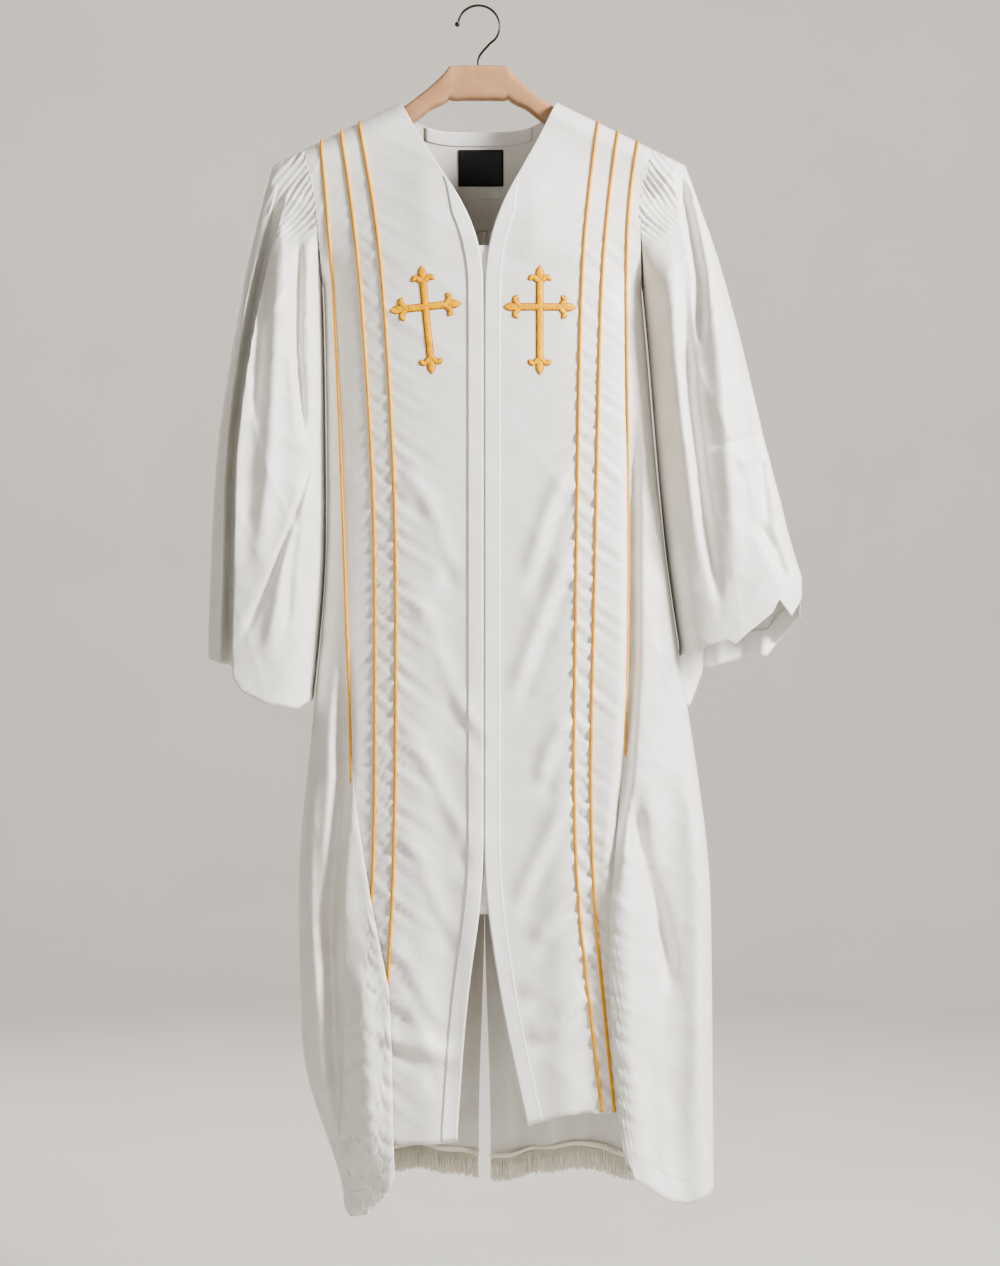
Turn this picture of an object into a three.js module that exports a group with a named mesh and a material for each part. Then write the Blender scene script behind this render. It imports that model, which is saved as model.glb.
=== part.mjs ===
// A clergy robe with bell sleeves, piped seams and two crosses, hung on a moulded hanger.
// Millimetres. +Z up, +X to the viewer's right, the front of the robe faces -Y.
// The origin is the inside of the hook's crown, where a rail carries it.
import * as THREE from 'three';

// ---- driving dimensions ----
const CLOTH = 1.6;               // thickness of every cloth panel
const SEAM_GAP = 0.4;            // gap between neighbouring panels
const NECK_HALF = 95;            // neck point, half width
const NECK_Z = -117;
const SHOULDER_SLOPE = 0.49;     // drop per mm outward
const NECK_DROP = 42;            // dip of the back neckline
const RIDGE_DEPTH = 30;          // half depth of the cloth over the hanger's arm
const BODY_DEPTH = 75;           // half depth of the robe from the chest down
const LAYER_GAP = BODY_DEPTH / 150;  // gap between cloth and what lies on it; a deeper curve needs more
const HEM_GAP = 0.024 * BODY_DEPTH;  // gap between a sleeve and its turned-up hem
const CHEST_RUN = 170;           // distance below the shoulder over which the depth grows
const SECTION_POWER = 3;         // squareness of the horizontal section
const ARMHOLE_Z = -257;
const UNDERARM_RUN = 25;         // height over which the armhole closes
const CENTRE_X = 7;              // the robe hangs a little to the right of the hook
const V_BOTTOM_Z = -272;
const SPLIT_Z = -1090;           // below this the fronts and the back vent fall open
const FRONT_HEM_Z = -1348;
const SIDE_HEM_Z = -1450;
const HEM_DIP_FROM = 160;        // the front hem dips to the side hem between these distances from the middle
const HEM_DIP_TO = 205;
const ROW_LENGTH = 74;           // length of cloth for each row of flats
const BACK_HEM_Z = -1385;
const VENT_HALF = 6;             // half width of the back vent at the hem
const YOKE_Z = -262;
const PIPING_R = 2;
const PIPING_LIFT = 0.95;        // height of the piping over the cloth that it is sewn into
const FRINGE = 28;
const BRAID = 8;
const FRINGE_THICK = 3;
const FRINGE_START = 1;          // the fringe starts this far from the vent
const FRINGE_SHARE = 0.8;        // and ends at this share of the way to the side seam
const PLACKET = 17;
const PLACKET_TOP_Z = -300;
const PLACKET_THICK = 1.3;
const PLACKET_EDGE = 0.3;        // half of the gap between the two plackets
const PLACKET_CLEAR = 0.7;       // gap between a placket and the front panel
const FACING_HALF = 62;
const FACING_TOP = 2;            // the neck facing lies between these distances below the neckline
const FACING_FOOT = 16;
const LABEL_THICK = 0.8;
const LABEL_CLEAR = 0.7;         // gap between the yoke and what is sewn inside it
const WOVEN_LABEL = { left: -25, right: 30, top: -178, bottom: -220 };
const CARE_LABEL = { left: -2, right: 26, top: -222, bottom: -234 };
const SLEEVE_HEM = 30;
const SLEEVE_HEM_THICK = 1;
const ARMHOLE_GAP = 0.6;         // gap between a sleeve and the side seam at the armhole
const UNDERARM_GAP = 3;          // and below it
const HOOK_R = 26;
const WIRE_R = 1.2;
const WIRE_GAP = 0.3;
const HOOK_START = -Math.PI / 3;         // the hook's round stretch starts here
const HOOK_SWEEP = 1.25 * Math.PI;       // and turns this far
const HOOK_STEPS = 9;
const SHANK_RISE = 8;            // the shank is straight up to this height over the hanger
const TIP_R = 3.2;
const TIP_GAP = 0.4;
const TIP_SHIFT = 0.6;
const SOCKET_R = 6;
const SOCKET_DEPTH = 14;
const BUSHING_CLEAR = 0.4;       // gap round the bushing in its socket
const WIRE_CLEAR = 0.6;          // gap round the wires in the bushing
const HANGER_TOP_Z = -72;
const HANGER_HALF_DEPTH = 12;
const HANGER_SEAT = 2.6;         // top of the arm below the outer face of the shoulder
const HANGER_HALF_HEIGHT = 15;
const NECK_CLEAR = 4;            // the arm dips this much more under the neck points
const ARM_DROP = 10;             // the arm starts this far below the top of the block
const ARM_END = 195;
const ARM_TAPER = 0.75;          // size of the arm's end against its start
const BLOCK_HALF = 42;
const BLOCK_CORNER = 8;
const BLOCK_FOOT = 46;           // height of the block at its ends
const BLOCK_ARCH = 32;           // height that its arched underside curves towards in the middle
const CROSS_HEIGHT = 130;
const CROSS_WIDTH = 87;
const CROSS_THICK = 1.2;
const CROSS_TOP_SHARE = 0.38;    // share of the height above the crossing
const CROSS_BAR_HALF = 5.5;
const CROSS_BUD = 15;
const CROSSES = { left: { x: -62, z: -373, tilt: 0.1 }, right: { x: 73, z: -373, tilt: 0 } };
const ZIP_Y = -62;
const ZIP_TOP_Z = -305;
const ZIP_BOTTOM_Z = -1080;
const CHAIN_HALF = 3;
const CHAIN_HALF_THICK = 1;
const CHAIN_SLOT = 0.6;          // half of the gap between the chains
const CHAIN_ABOVE = 2;           // the chains run this far above the tapes
const TAPE_HALF = 0.4;
const TAPE_CLEAR = 1.6;          // gap between the placket and the tape where it turns forward
const TAPE_SEAM = 6;             // width sewn to the front panel
const ZIP_CLEAR = 0.3;           // gap between the chains and the tapes, the slider's bridge and the stop
const STOP_HALF_THICK = 1.2;
const STOP_LENGTH = 4.7;
const SLIDER_LENGTH = 10;
const SLIDER_HALF = 4;
const SLIDER_PLATE = 1.2;
const SLIDER_GAP = 0.35;         // gap between a plate and the chains
const PULL_HALF = 2.5;
const PULL_THICK = 1.2;
const PULL_LENGTH = 22;
const PULL_GAP = 0.4;
const PULL_BELOW = 3;            // the pull starts this far below the slider's top

const COLOUR = { cloth: 0xf1eee6, gold: 0xe0a83a, fringe: 0xece2c8, label: 0x17161a, care: 0xf4f4f0,
  steel: 0x3a3030, hanger: 0xa8896b, zip: 0xd8d4ca, brass: 0xb08a4a };
const model = new THREE.Group();

function add(name, geometry, colour, roughness = 0.6, metalness = 0) {
  const material = new THREE.MeshStandardMaterial({ color: colour, roughness, metalness });
  const mesh = new THREE.Mesh(geometry, material);
  mesh.name = name;
  model.add(mesh);
}

// ---- curves ----
const SETTLING = 12;             // passes that settle a point's height and its place along a slanted edge
const STEP = 0.5;                // distance over which a surface's slope is taken
const { lerp: mix, smoothstep: ease, clamp } = THREE.MathUtils;

// A seam: x as a function of z, smooth through a few [x, z] points listed from the top down.
function seam(points) {
  const last = points.length - 1;
  const chord = (i) => (points[i + 1][0] - points[i][0]) / (points[i + 1][1] - points[i][1]);
  const slope = (i) => {
    const above = chord(Math.max(i - 1, 0));
    const below = chord(Math.min(i, last - 1));
    return above * below > 0 ? 2 * above * below / (above + below) : 0;   // never overshoots a point
  };
  return (z) => {
    const clamped = clamp(z, points[last][1], points[0][1]);
    let i = 0;
    while (i < last - 1 && clamped < points[i + 1][1]) i += 1;
    const run = points[i + 1][1] - points[i][1];
    const t = (clamped - points[i][1]) / run;
    const eased = ease(t, 0, 1);
    return mix(points[i][0], points[i + 1][0], eased)
      + run * ((t ** 3 - 2 * t ** 2 + t) * slope(i) + (t ** 3 - t ** 2) * slope(i + 1));
  };
}

// A closing line is where the front and the back half meet, so the cloth runs right up to it.
const closes = (line) => Object.assign(line, { closing: true });
const inset = (line) => (line.closing ? 0 : SEAM_GAP / 2);

const shoulderZ = (x) => NECK_Z - (Math.abs(x) - NECK_HALF) * SHOULDER_SLOPE;
const SHOULDER_END = 211;
const UNDERARM_X = 191;

// Seams of each side of the robe, from the centre front outwards.
const SIDES = {
  left: {
    sign: -1,
    edge: seam([[-NECK_HALF, NECK_Z], [-55, -190], [-16, -245], [CENTRE_X - 2, V_BOTTOM_Z], [CENTRE_X, -340],
      [CENTRE_X, SPLIT_Z], [-14, -1200], [-24, FRONT_HEM_Z]]),
    a: seam([[-144, -140], [-114, -330], [-97, -700], [-98, -970], [-118, FRONT_HEM_Z]]),
    b: seam([[-166, -150], [-141, -330], [-122, -700], [-122, -970], [-147, FRONT_HEM_Z]]),
    c: seam([[-190, -162], [-174, -330], [-158, -700], [-150, -970], [-166, FRONT_HEM_Z]]),
    side: closes(seam([[-SHOULDER_END, -174], [-UNDERARM_X, ARMHOLE_Z], [-184, -420], [-182, -640],
      [-198, -850], [-218, -1050], [-205, SIDE_HEM_Z]])),
  },
  right: {
    sign: 1,
    edge: seam([[NECK_HALF, NECK_Z], [60, -190], [30, -240], [CENTRE_X + 3, V_BOTTOM_Z], [CENTRE_X, -340],
      [CENTRE_X, SPLIT_Z], [35, -1230], [60, FRONT_HEM_Z]]),
    a: seam([[144, -140], [123, -330], [116, -700], [113, -970], [150, FRONT_HEM_Z]]),
    b: seam([[168, -150], [147, -330], [138, -700], [133, -970], [164, FRONT_HEM_Z]]),
    c: seam([[192, -162], [176, -290], [179, -700], [174, -970], [184, FRONT_HEM_Z]]),
    side: closes(seam([[SHOULDER_END, -174], [UNDERARM_X, ARMHOLE_Z], [203, -420], [222, -640], [252, -850],
      [280, -1050], [284, SIDE_HEM_Z]])),
  },
};
const SLEEVES = {
  left: { sign: -1, drop: -785, rise: -60,
    outer: closes(seam([[-250, -193], [-287, -350], [-318, -580], [-330, -900]])) },
  right: { sign: 1, drop: -705, rise: -105,
    outer: closes(seam([[250, -193], [302, -350], [352, -560], [393, -705]])) },
};

// ---- surfaces: half depth of the cloth at (x, z) ----
function growingDepth(x, z) {
  const below = Math.max(shoulderZ(x) - z, 0);
  const arch = Math.sqrt(1 - (1 - Math.min(below / RIDGE_DEPTH, 1)) ** 2);
  return RIDGE_DEPTH * arch + (BODY_DEPTH - RIDGE_DEPTH) * ease(below, RIDGE_DEPTH, RIDGE_DEPTH + CHEST_RUN);
}
const closing = (z) => 1 - ease(z, ARMHOLE_Z - UNDERARM_RUN, ARMHOLE_Z);
const rounded = (q, closed) => Math.max(1 - closed * Math.abs(q) ** SECTION_POWER, 0) ** (1 / SECTION_POWER);

function bodyDepth(x, z) {
  const side = x < 0 ? SIDES.left : SIDES.right;
  return growingDepth(x, z) * rounded(x / side.side(z), closing(z));
}

const sleeveInner = (key) => (z) => {
  const { sign } = SLEEVES[key];
  return SIDES[key].side(z) + sign * mix(ARMHOLE_GAP, UNDERARM_GAP, closing(z));
};
function sleeveDepth(key) {
  const inner = sleeveInner(key);
  const { outer } = SLEEVES[key];
  return (x, z) => {
    const q = 2 * (x - inner(z)) / (outer(z) - inner(z)) - 1;
    return growingDepth(x, z) * rounded(q, q < 0 ? closing(z) : 1);
  };
}

// ---- patches: a slab of cloth on a surface ----
// The slope is taken inwards and downwards, where the cloth always goes on.
// face is -1 for the front and 1 for the back. left and right are seams (x from z), top and bottom give z
// from x, and the slab lies between the offsets `from` and `to` outwards of the surface.
function surfacePoint(depth, face, x, z, offset) {
  const inward = x < CENTRE_X ? STEP : -STEP;
  const y = depth(x, z);
  const across = (y - depth(x + inward, z)) / inward;
  const down = (depth(x, z - STEP) - y) / STEP;
  const normal = new THREE.Vector3(across, 1, down).normalize();
  const p = new THREE.Vector3(x + normal.x * offset, y + normal.y * offset, z + normal.z * offset);
  p.y = face * Math.max(p.y, SEAM_GAP / 2);
  return p;
}

function slab(rows, columns, at) {
  const positions = [];
  const index = [];
  const id = (layer, i, j) => (layer * (rows + 1) + i) * (columns + 1) + j;
  for (const layer of [0, 1]) {
    for (let i = 0; i <= rows; i += 1) {
      for (let j = 0; j <= columns; j += 1) {
        positions.push(...at(i / rows, j / columns, layer).toArray());
      }
    }
  }
  const quad = (a, b, c, d) => index.push(a, b, c, a, c, d);
  for (let i = 0; i < rows; i += 1) {
    for (let j = 0; j < columns; j += 1) {
      quad(id(1, i, j), id(1, i + 1, j), id(1, i + 1, j + 1), id(1, i, j + 1));
      quad(id(0, i, j), id(0, i, j + 1), id(0, i + 1, j + 1), id(0, i + 1, j));
    }
    quad(id(0, i, 0), id(0, i + 1, 0), id(1, i + 1, 0), id(1, i, 0));
    quad(id(1, i, columns), id(1, i + 1, columns), id(0, i + 1, columns), id(0, i, columns));
  }
  for (let j = 0; j < columns; j += 1) {
    quad(id(0, 0, j), id(1, 0, j), id(1, 0, j + 1), id(0, 0, j + 1));
    quad(id(0, rows, j), id(0, rows, j + 1), id(1, rows, j + 1), id(1, rows, j));
  }
  const geometry = new THREE.BufferGeometry();
  geometry.setAttribute('position', new THREE.Float32BufferAttribute(positions, 3));
  geometry.setIndex(index);
  return facingOut(geometry);
}

// Turns a closed mesh's faces outwards if its signed volume is negative.
function facingOut(geometry) {
  const p = geometry.getAttribute('position');
  const index = geometry.getIndex();
  const corner = (k) => new THREE.Vector3().fromBufferAttribute(p, index.getX(k));
  let volume = 0;
  for (let k = 0; k < index.count; k += 3) {
    volume += corner(k).dot(corner(k + 1).cross(corner(k + 2)));
  }
  if (volume < 0) geometry.setIndex(Array.from(index.array).reverse());
  geometry.computeVertexNormals();
  return geometry;
}

const BODY_ROWS = Math.round((NECK_Z - SIDE_HEM_Z) / ROW_LENGTH);
function patch({ depth = bodyDepth, face, left, right, top, bottom, from = -CLOTH, to = 0, rows = BODY_ROWS,
  columns = 4, crowd = 2.2, spread = (u) => u }) {
  return slab(rows, columns, (v, u, layer) => {
    const down = v ** crowd;
    const across = (z) => mix(left(z) + inset(left), right(z) - inset(right), spread(u));
    let z = mix(NECK_Z, FRONT_HEM_Z, down);
    for (let k = 0; k < SETTLING; k += 1) {
      z = mix(top(across(z)), bottom(across(z)), down);
    }
    return surfacePoint(depth, face, across(z), z, layer ? to : from);
  });
}

const level = (z) => () => z;
const crowdedEnds = (u) => (1 - Math.cos(Math.PI * u)) / 2;   // columns closer where the cloth turns
const ordered = (sign, a, b) => (sign < 0 ? { left: b, right: a } : { left: a, right: b });
const frontHem = (x) => mix(FRONT_HEM_Z, SIDE_HEM_Z, ease(Math.abs(x), HEM_DIP_FROM, HEM_DIP_TO));

// ---- robe body ----
for (const [key, s] of Object.entries(SIDES)) {
  const front = (name, a, b, columns, spread) => add(name + '_' + key, patch({ face: -1,
    ...ordered(s.sign, a, b), top: shoulderZ, bottom: frontHem, columns, spread }), COLOUR.cloth);
  front('front_panel', s.edge, s.a, 5);
  front('inner_strip', s.a, s.b, 2);
  front('outer_strip', s.b, s.c, 2);
  front('side_panel', s.c, s.side, 8, crowdedEnds);
  const vent = seam([[CENTRE_X, NECK_Z], [CENTRE_X, SPLIT_Z], [CENTRE_X + s.sign * VENT_HALF, BACK_HEM_Z]]);
  add('back_panel_' + key, patch({ face: 1, ...ordered(s.sign, vent, s.side), top: level(YOKE_Z - SEAM_GAP),
    bottom: level(BACK_HEM_Z), columns: 12, rows: 14, crowd: 1, spread: crowdedEnds }), COLOUR.cloth);
  const hemInner = (z) => vent(z) + s.sign * FRINGE_START;
  const hemOuter = (z) => s.side(z) * FRINGE_SHARE;
  const inside = -CLOTH - LAYER_GAP;
  const band = (name, high, low) => add(name + '_' + key, patch({ face: 1,
    ...ordered(s.sign, hemInner, hemOuter), top: level(high), bottom: level(low), rows: 2, columns: 8,
    crowd: 1, from: inside - FRINGE_THICK, to: inside }), COLOUR.fringe, 0.9);
  band('fringe_braid', BACK_HEM_Z + BRAID, BACK_HEM_Z);
  band('brush_fringe', BACK_HEM_Z - LAYER_GAP, BACK_HEM_Z - FRINGE);
  for (const line of ['a', 'b', 'c']) {
    const beside = (way) => (z) => s[line](z) + way * PIPING_R;
    add(`piping_${line}_${key}`, patch({ face: -1, left: beside(-1), right: beside(1), top: shoulderZ,
      bottom: frontHem, columns: 1, from: PIPING_LIFT, to: PIPING_LIFT + 2 * PIPING_R }), COLOUR.gold, 0.35);
  }
  // Underlap strip behind the front edge, from the foot of the V to the split.
  const nearEdge = level(CENTRE_X + s.sign * PLACKET_EDGE);
  const farEdge = level(CENTRE_X + s.sign * PLACKET);
  const under = -CLOTH - PLACKET_CLEAR;
  add('placket_' + key, patch({ face: -1, ...ordered(s.sign, nearEdge, farEdge), top: level(PLACKET_TOP_Z),
    bottom: level(SPLIT_Z), rows: 6, columns: 2, crowd: 1, from: under - PLACKET_THICK, to: under }),
  COLOUR.cloth, 0.9);
}

// ---- back yoke, neck facing and labels ----
const neckline = (x) => (Math.abs(x) < NECK_HALF
  ? NECK_Z - NECK_DROP * (1 - (x / NECK_HALF) ** 4) : shoulderZ(x));
add('back_yoke', patch({ face: 1, left: SIDES.left.side, right: SIDES.right.side, top: neckline,
  bottom: level(YOKE_Z), rows: 12, columns: 40 }), COLOUR.cloth);
const inYoke = { face: 1, crowd: 1, from: -CLOTH - LABEL_CLEAR - LABEL_THICK, to: -CLOTH - LABEL_CLEAR };
add('neck_facing', patch({ ...inYoke, left: level(-FACING_HALF), right: level(FACING_HALF),
  top: (x) => neckline(x) - FACING_TOP, bottom: (x) => neckline(x) - FACING_FOOT, rows: 2, columns: 12 }),
COLOUR.cloth);
const label = (name, tag, colour) => add(name, patch({ ...inYoke, left: level(tag.left),
  right: level(tag.right), top: level(tag.top), bottom: level(tag.bottom), rows: 3, columns: 3 }),
colour, 0.8);
label('woven_label', WOVEN_LABEL, COLOUR.label);
label('care_label', CARE_LABEL, COLOUR.care);

// ---- sleeves ----
for (const [key, s] of Object.entries(SLEEVES)) {
  const inner = closes(sleeveInner(key));
  const depth = sleeveDepth(key);
  const sleeveSpan = Math.abs(s.outer(s.drop)) - UNDERARM_X;
  const hemLine = (x) => s.drop + s.rise * (1 - clamp((Math.abs(x) - UNDERARM_X) / sleeveSpan, 0, 1));
  for (const [name, face] of [['sleeve_front', -1], ['sleeve_back', 1]]) {
    add(name + '_' + key, patch({ depth, face, ...ordered(s.sign, inner, s.outer), top: shoulderZ,
      bottom: hemLine, rows: 20, columns: 10, crowd: 1.5, spread: crowdedEnds }), COLOUR.cloth);
    const hemName = face < 0 ? 'sleeve_hem_front_' : 'sleeve_hem_back_';
    add(hemName + key, patch({ depth, face, ...ordered(s.sign, inner, s.outer), spread: crowdedEnds,
      top: (x) => hemLine(x) + SLEEVE_HEM, bottom: (x) => hemLine(x) + 1, rows: 2, columns: 10, crowd: 1,
      from: -CLOTH - HEM_GAP - SLEEVE_HEM_THICK, to: -CLOTH - HEM_GAP }), COLOUR.cloth);
  }
}

// ---- crosses: four arms with budded ends, following the cloth they are sewn to ----
// One arm's outline, from the crossing out to the tip of its bud and back.
function crossArm(length) {
  const start = length - 1.6 * CROSS_BUD;
  const widest = length - 1.3 * CROSS_BUD;
  const brow = length - 0.6 * CROSS_BUD;
  const browHalf = 0.55 * CROSS_BUD;
  return [[CROSS_BAR_HALF, -CROSS_BAR_HALF], [start, -CROSS_BAR_HALF], [widest, -CROSS_BUD],
    [brow, -browHalf], [length, 0], [brow, browHalf], [widest, CROSS_BUD], [start, CROSS_BAR_HALF]];
}
const crossReach = [CROSS_WIDTH / 2, CROSS_HEIGHT * CROSS_TOP_SHARE, CROSS_WIDTH / 2,
  CROSS_HEIGHT * (1 - CROSS_TOP_SHARE)];
const crossOutline = new THREE.Shape(crossReach.flatMap((length, k) => crossArm(length).map(
  ([along, across]) => new THREE.Vector2(along, across).rotateAround(new THREE.Vector2(), k * Math.PI / 2))));
for (const [key, { x, z, tilt }] of Object.entries(CROSSES)) {
  const geometry = new THREE.ExtrudeGeometry(crossOutline, { depth: CROSS_THICK, bevelEnabled: false });
  geometry.rotateZ(tilt);
  const p = geometry.getAttribute('position');
  for (let i = 0; i < p.count; i += 1) {
    const [px, pz, out] = [p.getX(i) + x, p.getY(i) + z, p.getZ(i)];
    p.setXYZ(i, px, -(bodyDepth(px, pz) + LAYER_GAP + out), pz);
  }
  add('cross_' + key, geometry, COLOUR.gold, 0.4);
}

// ---- hanger ----
function hangerArm(sign) {
  const from = BLOCK_HALF + SEAM_GAP;
  const steps = 10;
  const sides = 12;
  const ring = (x, angle) => {
    const taper = mix(1, ARM_TAPER, (x - from) / (ARM_END - from));
    const toNeck = (x - from) / (NECK_HALF - from);
    const top = x < NECK_HALF
      ? mix(HANGER_TOP_Z - ARM_DROP, NECK_Z - HANGER_SEAT - NECK_CLEAR, toNeck)
      : shoulderZ(x) - HANGER_SEAT;
    return new THREE.Vector3(sign * x, HANGER_HALF_DEPTH * taper * Math.cos(angle),
      top - HANGER_HALF_HEIGHT * taper * (1 - Math.sin(angle)));
  };
  const positions = [];
  const index = [];
  for (let i = 0; i <= steps; i += 1) {
    for (let j = 0; j < sides; j += 1) {
      positions.push(...ring(mix(from, ARM_END, i / steps), 2 * Math.PI * j / sides).toArray());
    }
  }
  for (let i = 0; i < steps; i += 1) {
    for (let j = 0; j < sides; j += 1) {
      const [a, b] = [i * sides + j, i * sides + (j + 1) % sides];
      index.push(a, b, b + sides, a, b + sides, a + sides);
    }
  }
  for (let j = 1; j < sides - 1; j += 1) {
    index.push(0, j + 1, j);
    index.push(steps * sides, steps * sides + j, steps * sides + j + 1);
  }
  const geometry = new THREE.BufferGeometry();
  geometry.setAttribute('position', new THREE.Float32BufferAttribute(positions, 3));
  geometry.setIndex(index);
  return facingOut(geometry);
}
add('hanger_arm_left', hangerArm(-1), COLOUR.hanger, 0.45);
add('hanger_arm_right', hangerArm(1), COLOUR.hanger, 0.45);
const block = new THREE.Shape();
const inCorner = BLOCK_HALF - BLOCK_CORNER;
const footZ = HANGER_TOP_Z - BLOCK_FOOT;
const socketFloor = HANGER_TOP_Z - SOCKET_DEPTH;
block.moveTo(-BLOCK_HALF, HANGER_TOP_Z - BLOCK_CORNER);
block.quadraticCurveTo(-BLOCK_HALF, HANGER_TOP_Z, -inCorner, HANGER_TOP_Z);
block.lineTo(-SOCKET_R, HANGER_TOP_Z);
block.lineTo(-SOCKET_R, socketFloor);
block.lineTo(SOCKET_R, socketFloor);
block.lineTo(SOCKET_R, HANGER_TOP_Z);
block.lineTo(inCorner, HANGER_TOP_Z);
block.quadraticCurveTo(BLOCK_HALF, HANGER_TOP_Z, BLOCK_HALF, HANGER_TOP_Z - BLOCK_CORNER);
block.lineTo(BLOCK_HALF, footZ);
block.quadraticCurveTo(0, HANGER_TOP_Z - BLOCK_ARCH, -BLOCK_HALF, footZ);
const blockDepth = { depth: 2 * HANGER_HALF_DEPTH, curveSegments: 6, bevelEnabled: false };
add('hanger_block', new THREE.ExtrudeGeometry(block, blockDepth).rotateX(Math.PI / 2)
  .translate(0, HANGER_HALF_DEPTH, 0), COLOUR.hanger, 0.45);

// ---- hook: two wires side by side from the bushing up round the rail, and the loop at the tip ----
const bore = 2 * WIRE_R + WIRE_GAP + WIRE_CLEAR;
const bushingR = SOCKET_R - BUSHING_CLEAR;
const bushingTop = SOCKET_DEPTH - 2 * BUSHING_CLEAR;
const bushing = [[bore, 0], [bushingR, 0], [bushingR, bushingTop], [bore, bushingTop], [bore, 0]];
add('hook_bushing', new THREE.LatheGeometry(bushing.map(([r, h]) => new THREE.Vector2(r, h)), 20)
  .rotateX(Math.PI / 2).translate(0, 0, socketFloor + BUSHING_CLEAR), COLOUR.steel, 0.4, 0.8);
const hookCentreZ = WIRE_R - HOOK_R;
const hookPath = (y) => {
  const foot = new THREE.Vector3(0, y, socketFloor + 1);
  const points = [foot, new THREE.Vector3(0, y, HANGER_TOP_Z + SHANK_RISE)];
  for (let k = 0; k <= HOOK_STEPS; k += 1) {
    const angle = HOOK_START + k * HOOK_SWEEP / HOOK_STEPS;
    points.push(new THREE.Vector3(HOOK_R * Math.cos(angle), y, hookCentreZ + HOOK_R * Math.sin(angle)));
  }
  return new THREE.CatmullRomCurve3(points);
};
const wire = new THREE.Shape().absarc(0, 0, WIRE_R, 0, 2 * Math.PI);
for (const [name, way] of [['hook_wire_front', -1], ['hook_wire_back', 1]]) {
  add(name, new THREE.ExtrudeGeometry(wire, { steps: 40, curveSegments: 5, bevelEnabled: false,
    extrudePath: hookPath(way * (WIRE_R + WIRE_GAP / 2)) }), COLOUR.steel, 0.35, 0.9);
}
const tip = hookPath(0).getPoint(1);
add('hook_tip_loop', new THREE.SphereGeometry(TIP_R, 12, 8)
  .translate(tip.x - TIP_SHIFT, 0, tip.z - TIP_R - TIP_GAP), COLOUR.steel, 0.35, 0.9);

// ---- zip ----
// A box between two x, two y and two z.
const box = (name, [x0, x1], [y0, y1], [z0, z1], metal) => add(name,
  new THREE.BoxGeometry(x1 - x0, y1 - y0, z1 - z0).translate((x0 + x1) / 2, (y0 + y1) / 2, (z0 + z1) / 2),
  COLOUR.brass, 0.5, metal);
const around = (middle, half) => [middle - half, middle + half];
const tapeTurn = PLACKET + TAPE_CLEAR;   // the tape turns forward here, clear of the placket
const tapeStart = CHAIN_HALF + ZIP_CLEAR;
const sewnY = -(BODY_DEPTH - CLOTH - LAYER_GAP);
const tapeLine = [[tapeStart, ZIP_Y - TAPE_HALF], [tapeTurn - 2 * TAPE_HALF, ZIP_Y - TAPE_HALF],
  [tapeTurn - 2 * TAPE_HALF, sewnY], [tapeTurn + TAPE_SEAM, sewnY],
  [tapeTurn + TAPE_SEAM, sewnY + 2 * TAPE_HALF], [tapeTurn, sewnY + 2 * TAPE_HALF],
  [tapeTurn, ZIP_Y + TAPE_HALF], [tapeStart, ZIP_Y + TAPE_HALF]];
for (const [key, s] of Object.entries(SIDES)) {
  const chain = [CENTRE_X + s.sign * CHAIN_SLOT, CENTRE_X + s.sign * CHAIN_HALF].sort((p, q) => p - q);
  const tape = new THREE.Shape(tapeLine.map(([x, y]) => new THREE.Vector2(CENTRE_X + s.sign * x, y)));
  box('zip_chain_' + key, chain, around(ZIP_Y, CHAIN_HALF_THICK),
    [ZIP_BOTTOM_Z, ZIP_TOP_Z + CHAIN_ABOVE], 0.7);
  const tapeDepth = { depth: ZIP_TOP_Z - ZIP_BOTTOM_Z, bevelEnabled: false };
  const tapeSolid = new THREE.ExtrudeGeometry(tape, tapeDepth).translate(0, 0, ZIP_BOTTOM_Z);
  add('zip_tape_' + key, tapeSolid, COLOUR.zip);
}
const stopTop = ZIP_BOTTOM_Z - ZIP_CLEAR;
box('zip_bottom_stop', around(CENTRE_X, CHAIN_HALF), around(ZIP_Y, STOP_HALF_THICK),
  [stopTop - STOP_LENGTH, stopTop], 0.7);
// Slider: two plates joined by a bridge that runs in the slot between the chains.
const plateIn = CHAIN_HALF_THICK + SLIDER_GAP;
const plateOut = plateIn + SLIDER_PLATE;
const bridge = CHAIN_SLOT - ZIP_CLEAR;
const sliderProfile = new THREE.Shape([[-SLIDER_HALF, -plateOut], [SLIDER_HALF, -plateOut],
  [SLIDER_HALF, -plateIn], [bridge, -plateIn], [bridge, plateIn], [SLIDER_HALF, plateIn],
  [SLIDER_HALF, plateOut], [-SLIDER_HALF, plateOut], [-SLIDER_HALF, plateIn], [-bridge, plateIn],
  [-bridge, -plateIn], [-SLIDER_HALF, -plateIn]].map(([x, y]) => new THREE.Vector2(x, y)));
add('zip_slider', new THREE.ExtrudeGeometry(sliderProfile, { depth: SLIDER_LENGTH, bevelEnabled: false })
  .translate(CENTRE_X, ZIP_Y, ZIP_TOP_Z - SLIDER_LENGTH), COLOUR.brass, 0.4, 0.8);
const pullBack = ZIP_Y - plateOut - PULL_GAP;
const pullTop = ZIP_TOP_Z - PULL_BELOW;
box('zip_pull', around(CENTRE_X, PULL_HALF), [pullBack - PULL_THICK, pullBack],
  [pullTop - PULL_LENGTH, pullTop], 0.8);

export default model;
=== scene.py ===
"""The looks of a clergy robe on its hanger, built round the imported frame.

Lengths inside the classes are millimetres, in the frame's own axes: +Z up, +X to the viewer's right,
and the front of the robe faces -Y. Meshes are written in metres.
"""

import logging
import math
from dataclasses import dataclass, field, replace
from enum import Enum
from typing import Callable, Sequence

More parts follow.
